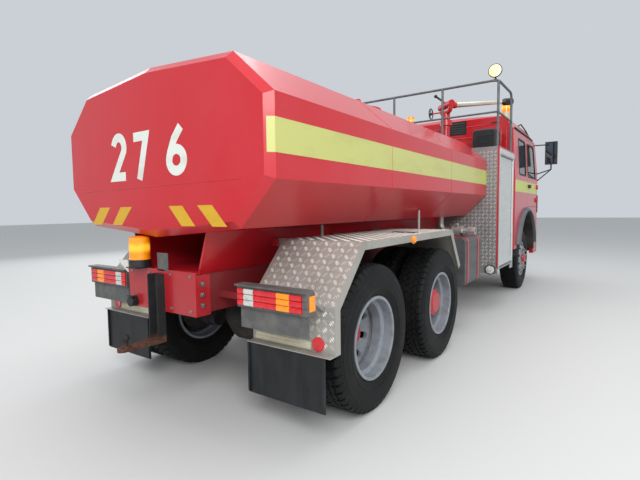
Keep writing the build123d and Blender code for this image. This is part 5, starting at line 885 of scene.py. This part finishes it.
# distance into the wall from its corner, distance in from the trim's outer face
trim_profile = [(-TRIM_OFF, 0), (TRIM, 0), (TRIM, TRIM_SHEET), (TRIM_SHEET - TRIM_OFF, TRIM_SHEET),
                (TRIM_SHEET - TRIM_OFF, TRIM), (-TRIM_OFF, TRIM)]
for side in (1, -1):
    for trim_x, inward in ((cabinet_low.x, 1), (cabinet_high.x, -1)):
        prism(corner_trims, [(trim_x + inward * along, side * (CABINET_OUT + TRIM_OFF - deep), cabinet_low.z)
                             for along, deep in trim_profile], (0, 0, cabinet_high.z - cabinet_low.z))
    block(corner_trims, (cabinet_low.x, side * (CABINET_OUT - 0.001), cabinet_high.z - 0.028),
          (cabinet_high.x, side * (CABINET_OUT + 0.003), cabinet_high.z - 0.001))
close_shape(corner_trims, "cabinet_corner_angles", fire_red)

brushed_aluminium = two_tone("anodised_aluminium", {"Metallic": 0.55, "Roughness": 0.42},
                             ("d3d6d5", "c6c9c7", 3.0, 0.5, 0.95, (1, 1, 3)), (300.0, 0.08, 0.0005))
dress(brushed_aluminium, "roller_shutters")
SHUTTER_XS = (cabinet_low.x + 0.060, cabinet_high.x - 0.060)
SHUTTER_ZS = (0.64, 2.16)
# distance into the opening, distance out of the wall
GUIDE_PROFILE = [(-0.034, 0), (-0.034, 0.006), (-0.004, 0.006), (0.004, 0.002), (0.004, -0.010),
                 (0, -0.010), (0, 0)]
# distance up, distance out of the wall
HEADER_PROFILE = [(0, 0), (0.008, 0.004), (0.010, 0.016), (0.076, 0.016), (0.080, 0.0)]
STEP_OUT = 1.235
STEP_Z = 0.596
STEP_LENGTH = 0.95
STEP_BRACKET_INSET = 0.08
STEP_BRACKET_HALF = 0.02
STEP_BRACKET_ZS = (0.59, 0.66)
for side_name, side in SIDES:
    guides = bmesh.new()
    proud_y = side * (cabinet_high.y - 0.001)
    for guide_x, inward in ((SHUTTER_XS[0], 1), (SHUTTER_XS[1], -1)):
        prism(guides, [(guide_x + inward * along, proud_y + side * out, SHUTTER_ZS[0] - 0.018)
                       for along, out in GUIDE_PROFILE], (0, 0, SHUTTER_ZS[1] - SHUTTER_ZS[0] + 0.03))
    prism(guides, [(SHUTTER_XS[0] - 0.036, proud_y + side * out, SHUTTER_ZS[1] + 0.012 + rise)
                   for rise, out in HEADER_PROFILE], (SHUTTER_XS[1] - SHUTTER_XS[0] + 0.072, 0, 0))
    close_shape(guides, f"shutter_frame_{side_name}", brushed_aluminium)
    step_bar = bmesh.new()
    rod(step_bar, (cabinet_low.x, side * STEP_OUT, STEP_Z), (STEP_LENGTH, 0, 0), 0.013, 14)
    for bracket_x in (cabinet_low.x + STEP_BRACKET_INSET, cabinet_high.x - STEP_BRACKET_INSET):
        block(step_bar, (bracket_x - STEP_BRACKET_HALF, side * STEP_OUT - 0.003, STEP_BRACKET_ZS[0]),
              (bracket_x + STEP_BRACKET_HALF, side * STEP_OUT + 0.003, STEP_BRACKET_ZS[1]))
    close_shape(step_bar, f"cabinet_step_bar_{side_name}", galvanised)

# A round white lamp is screwed to the right apron.
clear_lens = two_tone("clear_fluted_lens", {"Roughness": 0.1, "Coat Weight": 0.6},
                      ("c9cbc8", "8e908c", 40.0, 0.45, 0.75), (120.0, 0.4, 0.001))
wall_lamp_place = (cabinet_low.x + 0.001, -1.157, 0.592)
turned_piece("cabinet_round_lamp_body", moulded_black, [
    (0, 0), (0, 0.066), (0.034, 0.070), (0.040, 0.066), (0.040, 0.060), (0.030, 0.058), (0.030, 0)],
    wall_lamp_place, (-1, 0, 0), 36, 40)
turned_piece("cabinet_round_lamp_lens", clear_lens, [
    (0.029, 0), (0.029, 0.058), (0.036, 0.056), (0.042, 0.040), (0.045, 0.020), (0.046, 0)],
    wall_lamp_place, (-1, 0, 0), 36, 50)


# Guard rail and work light
# Bent steel tube welded to feet on the cabinet's deck, in grey paint worn to a dull green-grey. The work
# light on its corner has a black pressed bowl and a warm glass.
rail_grey = two_tone("grey_green_tube_paint", {"Roughness": 0.5, "Metallic": 0.2},
                     ("62686a", "41453f", 9.0, 0.42, 0.8), (160.0, 0.15, 0.0008))
dress(rail_grey, "guard_rail")
dress(moulded_black, "work_light")
warm_glass, tree, shader, place = material("warm_lamp_glass", {"Roughness": 0.15, "Coat Weight": 0.6})
surface(tree, shader, place, patches(tree, place, "f3e7a6", "fff8d8", 9.0, 0.4, 0.7), 90.0, 0.35, 0.001)
tree.links.new(patches(tree, place, "f6dc7a", "fff3bf", 9.0, 0.4, 0.7), shader.inputs["Emission Color"])
shader.inputs["Emission Strength"].default_value = 0.55
light_low, light_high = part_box("work_light")
light_radius = (light_high.y - light_low.y) / 2
light_middle = (light_low.x, light_low.y + light_radius, light_high.z - light_radius)
turned_piece("work_light_glass", warm_glass, [
    (-0.002, 0), (-0.002, 0.081), (0.004, 0.079), (0.010, 0.060), (0.013, 0.030), (0.014, 0)],
    light_middle, (-1, 0, 0), 40, 50)


# Water cannon
# A cast base and elbow in red enamel carry a turned light alloy barrel with a satin finish, a black rubber
# covered nozzle and a black ball on the handle.
CANNON_PIVOT = Vector((1.079, -0.35, 3.03))
BARREL_WAY = Vector((math.cos(math.radians(-45)), math.sin(math.radians(-45)), 0.0))
HANDWHEEL_INNER_Y = -0.126
COLLAR_END = 0.162
NOZZLE_START = 0.935
HANDLE_END = -0.055
BASE_BOLTS = 8
BOLT_CIRCLE = 0.108
FLANGE_TOP = 2.3045
dress(fire_red, "cannon_base")
elbow_finish, tree, shader, place = material("red_elbow_enamel_and_black_handwheel", {
    "Roughness": 0.32, "Coat Weight": 0.3})
out_left = add(tree, "ShaderNodeSeparateXYZ", links={"Vector": place}).outputs["Y"]
on_wheel = add(tree, "ShaderNodeMath", {"operation": "GREATER_THAN"}, {
    0: out_left, 1: HANDWHEEL_INNER_Y}).outputs[0]
elbow_tone = add(tree, "ShaderNodeMix", {"data_type": "RGBA"}, {
    "Factor": on_wheel, 6: patches(tree, place, "bf0e1c", "a81c26", 9.0, 0.45, 0.8),
    7: patches(tree, place, "191a1c", "33322f", 12.0, 0.5, 0.85)})
surface(tree, shader, place, elbow_tone.outputs[2], 110.0, 0.08, 0.0008)
dress(elbow_finish, "cannon_elbow")
barrel_finish, tree, shader, place = material("satin_barrel_and_black_nozzle", {"Roughness": 0.34})
moved = add(tree, "ShaderNodeVectorMath", {"operation": "SUBTRACT"}, {0: place, 1: CANNON_PIVOT})
along = add(tree, "ShaderNodeVectorMath", {"operation": "DOT_PRODUCT"}, {0: moved.outputs[0], 1: BARREL_WAY})
along_value = along.outputs["Value"]
on_nozzle, on_handle, on_collar = [
    add(tree, "ShaderNodeMath", {"operation": test}, {0: along_value, 1: limit}).outputs[0]
    for test, limit in (("GREATER_THAN", NOZZLE_START), ("LESS_THAN", HANDLE_END), ("LESS_THAN", COLLAR_END))]
satin = patches(tree, place, "dedbcb", "c4bfa8", 5.0, 0.45, 0.9)
enamel_tone = patches(tree, place, "c4121f", "a81c26", 9.0, 0.45, 0.8)
rubber_tone = patches(tree, place, "141517", "2c2b29", 12.0, 0.5, 0.85)
collared = add(tree, "ShaderNodeMix", {"data_type": "RGBA"}, {"Factor": on_collar, 6: satin, 7: enamel_tone})
dark_end = add(tree, "ShaderNodeMath", {"operation": "MAXIMUM"}, {0: on_nozzle, 1: on_handle}).outputs[0]
finished_tone = add(tree, "ShaderNodeMix", {"data_type": "RGBA"}, {
    "Factor": dark_end, 6: collared.outputs[2], 7: rubber_tone})
surface(tree, shader, place, finished_tone.outputs[2], 120.0, 0.1, 0.0006)
bare = add(tree, "ShaderNodeMath", {"operation": "SUBTRACT"}, {0: 0.8, 1: on_collar})
metal = add(tree, "ShaderNodeMath", {"operation": "SUBTRACT", "use_clamp": True}, {
    0: bare.outputs[0], 1: dark_end})
tree.links.new(metal.outputs[0], shader.inputs["Metallic"])
dress(barrel_finish, "cannon_barrel")
base_bolts = bmesh.new()
for index in range(BASE_BOLTS):
    turn = 2 * math.pi * index / BASE_BOLTS
    bolt(base_bolts, (CANNON_PIVOT.x + BOLT_CIRCLE * math.cos(turn),
                      CANNON_PIVOT.y + BOLT_CIRCLE * math.sin(turn), FLANGE_TOP), (0, 0, 1), 0.014)
close_shape(base_bolts, "cannon_base_bolts", zinc_nut)


# Intake box and ladder
# A moulded black air intake stands on the deck behind the cab; the ladder's round bars are galvanised.
dress(moulded_black, "intake_box")
dress(galvanised, "side_ladder")


# Cab
# Pressed steel panels spot welded together and sprayed in the same fire red. Black rubber seals hold the
# glass, a yellow band of reflective film crosses it, and the roof's edges and rear wall carry black
# mouldings.
CAB_REAR_X = 1.714
CAB_OUT = 1.24
BELT_Z = 1.9
DRIP_Z = 2.68
DRIP_OUT = 1.2
CAB_STRIPE_ZS = (1.7, 1.89)
cab_red = sprayed_enamel("cab_fire_red_enamel", "c01521", "b52834", "4d2622", 0.28, 0.75)
dress(cab_red, "cab_shell", "cab_door_left", "cab_door_right")


def cab_side_y(height_z):
    """How far out the cab's side lies at a height."""
    share = min(1.0, max(0.0, (height_z - BELT_Z) / (DRIP_Z - BELT_Z)))
    return CAB_OUT - share * (CAB_OUT - DRIP_OUT)


# piece, first and last place along the truck
CAB_STRIPES = [("rear", 1.756, 2.785), ("door", 2.795, 3.775), ("front", 3.786, 3.872)]
for side_name, side in SIDES:
    for stripe_name, first_x, last_x in CAB_STRIPES:
        band = bmesh.new()
        block(band, (first_x, side * (CAB_OUT - SUNK), CAB_STRIPE_ZS[0]),
              (last_x, side * (CAB_OUT + FILM_THICKNESS), CAB_STRIPE_ZS[1]))
        close_shape(band, f"cab_stripe_{stripe_name}_{side_name}", green_film,
                    f"door_{side_name}" if stripe_name == "door" else "chassis")

seal_rubber = two_tone("window_seal_rubber", {"Roughness": 0.6}, ("17181a", "2f2e2c", 10.0, 0.45, 0.8),
                       (200.0, 0.12, 0.0006))


def rounded_loop(points, radius, steps=5):
    """A closed line through flat points with its corners rounded, starting and ending on its first side."""
    line = []
    for index in range(len(points)):
        corner = Vector(points[index])
        start = corner + (Vector(points[index - 1]) - corner).normalized() * radius
        end = corner + (Vector(points[(index + 1) % len(points)]) - corner).normalized() * radius
        for step in range(steps + 1):
            share = step / steps
            line.append((1 - share) ** 2 * start + 2 * share * (1 - share) * corner + share ** 2 * end)
    middle = (line[-1] + line[0]) / 2
    return [middle] + line + [middle]


# corners as (place along the truck, height)
WINDOWS = {"sleeper": [(2.094, 1.99), (2.674, 1.99), (2.674, 2.57), (2.094, 2.57)],
           "door": [(2.872, 1.99), (3.679, 1.99), (3.539, 2.57), (2.872, 2.57)]}
WINDOW_CORNER = 0.055
SEAL_WIDTH = 0.026
SEAL_DEPTH = 0.008
MOULDING_LINE = [(1.83, 2.705), (3.0, 2.705), (3.45, 2.695)]
MOULDING_WIDTH = 0.024
MOULDING_OUTS = (1.188, 1.21)
GRAB_LINE = [(3.02, 1.03, 2.93), (3.1, 1.06, 2.965), (3.42, 1.09, 2.885), (3.6, 1.13, 2.765)]
GRAB_RADIUS = 0.011
for side_name, side in SIDES:
    for window_name, corners in WINDOWS.items():
        seal = bmesh.new()
        ribbon(seal, rounded_loop(corners, WINDOW_CORNER), SEAL_WIDTH,
               lambda point: (point[0], side * (cab_side_y(point[1]) - SEAL_DEPTH / 2), point[1]),
               (0, side * SEAL_DEPTH, 0))
        close_shape(seal, f"{window_name}_window_seal_{side_name}", seal_rubber,
                    f"door_{side_name}" if window_name == "door" else "chassis")

    # A black moulding follows the roof's edge, and a grab bar its top.
    trim = bmesh.new()
    ribbon(trim, MOULDING_LINE, MOULDING_WIDTH, lambda point: (point[0], side * MOULDING_OUTS[0], point[1]),
           (0, side * (MOULDING_OUTS[1] - MOULDING_OUTS[0]), 0))
    close_shape(trim, f"roof_edge_moulding_{side_name}", seal_rubber)
    grab = bmesh.new()
    grab_line = [Vector((x, side * y, z)) for x, y, z in GRAB_LINE]
    for first, last in zip(grab_line, grab_line[1:]):
        rod(grab, first, last - first, GRAB_RADIUS, 10)
    close_shape(grab, f"roof_grab_bar_{side_name}", moulded_black)

# The rear wall has a black louvred panel high on the right, pressed ribs, and a dark slot near the corner.
LOUVRES = 5
LOUVRE_PITCH = 0.038
LOUVRE_PROFILE = [(-0.008, 2.695), (-0.018, 2.683), (-0.009, 2.711)]
rear_panel = bmesh.new()
block(rear_panel, (CAB_REAR_X + 0.001, -0.2, 2.665), (CAB_REAR_X - 0.009, -0.48, 2.885))
for index in range(LOUVRES):
    prism(rear_panel, [(CAB_REAR_X + back, -0.225, z + index * LOUVRE_PITCH) for back, z in LOUVRE_PROFILE],
          (0, -0.23, 0))
close_shape(rear_panel, "cab_rear_black_panel", moulded_black)
cab_pressings = bmesh.new()
# where the rib starts, which way it runs, how long it is
PRESSED_RIBS = [((CAB_REAR_X, y, 1.95), (0, 0, 1), 0.76) for y in (-1.1, -1.02)]
PRESSED_RIBS += [((CAB_REAR_X, -0.98, z), (0, 1, 0), 1.8) for z in (2.52, 2.6, 2.78)]
for rib_start, rib_way, rib_length in PRESSED_RIBS:
    turned(cab_pressings, [(0, 0), (0.01, 0.007), (rib_length - 0.01, 0.007), (rib_length, 0)], rib_start,
           rib_way, 8)
close_shape(cab_pressings, "cab_rear_pressings", cab_red)
vent_slot = bmesh.new()
prism(vent_slot, [(CAB_REAR_X + 0.001, y, z) for y, z in arc((-0.934, 2.8), (0.07, 0.016), 0, 345, 23)],
      (-0.006, 0, 0))
close_shape(vent_slot, "cab_rear_vent_slot", seal_rubber)

# Each door has a black pull handle and a lock barrel beside it.
HANDLE_PROFILE = [(2.853, -0.0005), (2.853, 0.024), (2.864, 0.033), (3.010, 0.033), (3.021, 0.024),
                  (3.021, -0.0005)]
HANDLE_ZS = (1.789, 1.846)
for side_name, side in SIDES:
    handle_cover = bmesh.new()
    prism(handle_cover, [(x, side * (CAB_OUT + out), HANDLE_ZS[0]) for x, out in HANDLE_PROFILE],
          (0, 0, HANDLE_ZS[1] - HANDLE_ZS[0]))
    close_shape(handle_cover, f"door_handle_cover_{side_name}", moulded_black, f"door_{side_name}")
    turned_piece(f"door_lock_{side_name}", moulded_black, [(0, 0), (0, 0.016), (0.004, 0.016), (0.005, 0.011),
                                                           (0.006, 0)],
                 (3.09, side * (CAB_OUT + SUNK), 1.81), (0, side, 0), 20, body=f"door_{side_name}")

# A ribbed black air guide wraps each front corner of the cab under the band.
CORNER_CENTRE = (3.874, 1.09)
# foot, height, outer radius, inner radius, first and last degree, steps
GUIDE_BANDS = [(1.34, 0.34, 0.162, 0.149, 6, 84, 14)]
GUIDE_BANDS += [(rib_z, 0.016, 0.168, 0.161, 10, 80, 12) for rib_z in (1.38, 1.44, 1.50, 1.56, 1.62)]
for side_name, side in SIDES:
    guide = bmesh.new()
    for foot_z, height, outer, inner, start, end, steps in GUIDE_BANDS:
        bent = arc(CORNER_CENTRE, (outer, outer), start, end, steps)
        bent += arc(CORNER_CENTRE, (inner, inner), end, start, steps)
        prism(guide, [(x, side * y, foot_z) for x, y in bent], (0, 0, height))
    close_shape(guide, f"front_corner_air_guide_{side_name}", moulded_black)

# Grey moulded flares stand round the front arches. Each is a bent strip with a rolled edge.
FLARE_RADIUS = 0.787
FLARE_CENTRE = (2.747, 0.6)
# distance out along the radius, distance out of the cab's side
FLARE_PROFILE = [(0.0, -0.004), (0.0, 0.052), (0.006, 0.058), (0.026, 0.056), (0.046, 0.040), (0.057, 0.012),
                 (0.058, -0.004)]
flare_grey = two_tone("grey_moulded_flare", {"Roughness": 0.5}, ("5d6168", "4a4b4c", 5.0, 0.42, 0.8),
                      (260.0, 0.2, 0.0008))
for side_name, side in SIDES:
    flare = bmesh.new()
    rings = []
    for turn in range(13, 168, 5):
        away = Vector((math.cos(math.radians(turn)), 0, math.sin(math.radians(turn))))
        rings.append([flare.verts.new(Vector((FLARE_CENTRE[0], side * (CAB_OUT + out), FLARE_CENTRE[1]))
                                      + (FLARE_RADIUS + deep) * away) for deep, out in FLARE_PROFILE])
    skin(flare, rings)
    flare.faces.new(rings[0])
    flare.faces.new(rings[-1][::-1])
    close_shape(flare, f"front_arch_flare_{side_name}", flare_grey, smooth=40)


# Glass and mirrors
# Laminated and toughened glass with a green-grey tint, a little dusty. The mirrors' black heads hold silvered
# glass that faces the rear, and a black arm carries each wiper over the screen.
tinted_glass, tree, shader, place = material("tinted_window_glass", {
    "Transmission Weight": 0.85, "Roughness": 0.03, "IOR": 1.5})
tree.links.new(patches(tree, place, "3c4444", "5a6060", 3.0, 0.45, 0.85), shader.inputs["Base Color"])
dress(tinted_glass, "cab_glass", "door_glass_left", "door_glass_right")
dress(moulded_black, "mirrors")
silvered_glass, tree, shader, place = material("silvered_mirror_glass", {"Metallic": 1.0, "Roughness": 0.04})
tree.links.new(patches(tree, place, "59616a", "4a5258", 6.0, 0.45, 0.8), shader.inputs["Base Color"])
MIRROR_BACK_X = 4.035
MIRROR_CORNERS = [(1.365, 2.31), (1.535, 2.31), (1.535, 2.71), (1.365, 2.71)]
WIPER_FOOT = (4.012, 0.5, 1.97)
WIPER_RUN = (-0.10, 0.42, 0.48)
mirror_line = rounded_loop(MIRROR_CORNERS, 0.03)[1:-1]
for side_name, side in SIDES:
    mirror_glass = bmesh.new()
    prism(mirror_glass, [(MIRROR_BACK_X, side * out, z) for out, z in mirror_line], (-0.003, 0, 0))
    close_shape(mirror_glass, f"mirror_glass_{side_name}", silvered_glass)
    wiper_foot, wiper_run = [Vector((x, side * y, z)) for x, y, z in (WIPER_FOOT, WIPER_RUN)]
    turned_piece(f"wiper_arm_{side_name}", moulded_black, [(0, 0), (0, 0.009), (wiper_run.length, 0.006),
                                                           (wiper_run.length, 0)],
                 wiper_foot, wiper_run, 8)


# Front end
# The bumper is pressed steel in the cab's red, the grille is moulded in black, and each lamp has a fluted
# clear lens in a black trim. A plain plated hook hangs at each end of the bumper.
dress(cab_red, "bumper")
dress(moulded_black, "grille", "dashboard")
dress(clear_lens, "headlamps")
bumper_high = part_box("bumper")[1]
HEADLAMP_CORNERS = [(0.785, 0.695), (1.075, 0.695), (1.075, 0.865), (0.785, 0.865)]
HOOK_OUT = 1.2
HOOK_XS = (3.84, 4.0)
HOOK_ZS = (0.61, 0.62, 0.66)
lamp_trims = bmesh.new()
hooks = bmesh.new()
for side in (1, -1):
    ribbon(lamp_trims, rounded_loop(HEADLAMP_CORNERS, 0.02), 0.012,
           lambda point: (bumper_high.x - 0.009, side * point[0], point[1]), (0.008, 0, 0))
    rod(hooks, (HOOK_XS[0], side * HOOK_OUT, HOOK_ZS[1]), (HOOK_XS[1] - HOOK_XS[0], 0, 0), 0.011, 12)
    rod(hooks, (HOOK_XS[1], side * HOOK_OUT, HOOK_ZS[0]), (0, 0, HOOK_ZS[2] - HOOK_ZS[0]), 0.02, 12)
close_shape(lamp_trims, "headlamp_trims", moulded_black)
close_shape(hooks, "bumper_corner_hooks", zinc_nut)


# Seats
# Foam cushions in dark woven cloth on steel frames, crowned, with rolled edges and two sewn channels along
# each. Their form is shaped in code from a block.
SEAM_SHARE = 0.56
SEAM_DEPTH = 0.008
SEAM_WIDTH = 0.012
PAD_CROWN = 0.012
PAD_CUTS = 27
CAB_FLOOR_Z = 1.49
SEAT_PLACE = (2.907, 0.64, CAB_FLOOR_Z)
SEAT_LEG_AHEAD = 0.24
SEAT_LEG_PROFILE = [(0, 0), (0, 0.19), (0.02, 0.2), (0.05, 0.15), (0.2, 0.15), (0.25, 0.2), (0.262, 0.2),
                    (0.262, 0)]
# pad, its low and its high corner from the seat's place
SEAT_PADS = [("seat_cushion", (0.0, -0.25, 0.26), (0.5, 0.25, 0.4)),
             ("seat_back", (-0.06, -0.24, 0.38), (0.07, 0.24, 0.98))]
# the bunk's place, then corners from it
BUNK_PLACE = Vector((CAB_REAR_X, 0, CAB_FLOOR_Z))
BUNK_PAD = ((0.07, -0.9, 0.28), (0.62, 0.9, 0.4))
BUNK_FRAME = [(0.075, -0.88, 0.0), (0.6, -0.88, 0.0), (0.615, -0.88, 0.285), (0.075, -0.88, 0.285)]
seat_cloth, tree, shader, place = material("dark_woven_seat_cloth", {"Roughness": 0.9, "Sheen Weight": 0.4})
weave_wave = add(tree, "ShaderNodeTexWave", {"wave_type": "BANDS"}, {"Vector": place, "Scale": 90.0})
weave_tone = add(tree, "ShaderNodeMix", {"data_type": "RGBA"}, {
    "Factor": weave_wave.outputs["Fac"], 6: colour("26282d"), 7: colour("383b42")})
surface(tree, shader, place, weave_tone.outputs[2], 400.0, 0.3, 0.0008)


def cushion(name, low, high):
    """A padded block between two corners, its edges rolled and its faces crowned outwards."""
    centre = (low + high) / 2
    half = (high - low) / 2
    shape = bmesh.new()
    bmesh.ops.create_cube(shape, size=2.0)
    bmesh.ops.subdivide_edges(shape, edges=shape.edges, cuts=PAD_CUTS, use_grid_fill=True)
    roll = min(half) * 0.7
    for vert in shape.verts:
        spot = Vector([vert.co[axis] * half[axis] for axis in range(3)])
        core = Vector([max(-half[axis] + roll, min(half[axis] - roll, spot[axis])) for axis in range(3)])
        away = spot - core
        placed = core + away.normalized() * roll if away.length else spot
        shares = sorted(abs(placed[axis]) / half[axis] for axis in range(3))
        fullness = (1 - shares[0] ** 2) * (1 - shares[1] ** 2)
        seam_gap = abs(abs(placed.y) - half.y * SEAM_SHARE)
        seam = SEAM_DEPTH * math.exp(-(seam_gap / SEAM_WIDTH) ** 2)
        placed -= away.normalized() * (PAD_CROWN * (1 - fullness) + seam)
        vert.co = centre + placed
    made = close_shape(shape, name, seat_cloth, smooth=60)
    return made


pads = []
seat_frames = bmesh.new()
for side_name, side in SIDES:
    seat_place = Vector((SEAT_PLACE[0], side * SEAT_PLACE[1], SEAT_PLACE[2]))
    for pad_name, low, high in SEAT_PADS:
        pads.append(cushion(f"{pad_name}_{side_name}", seat_place + Vector(low), seat_place + Vector(high)))
    turned(seat_frames, SEAT_LEG_PROFILE, seat_place + Vector((SEAT_LEG_AHEAD, 0, 0)), (0, 0, 1), 24)
pads.append(cushion("bunk_pad", *[BUNK_PLACE + Vector(corner) for corner in BUNK_PAD]))
prism(seat_frames, [BUNK_PLACE + Vector(corner) for corner in BUNK_FRAME], (0, -2 * BUNK_FRAME[0][1], 0))
for piece in pads + [close_shape(seat_frames, "seat_frames", tank_grey)]:
    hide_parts("seats")
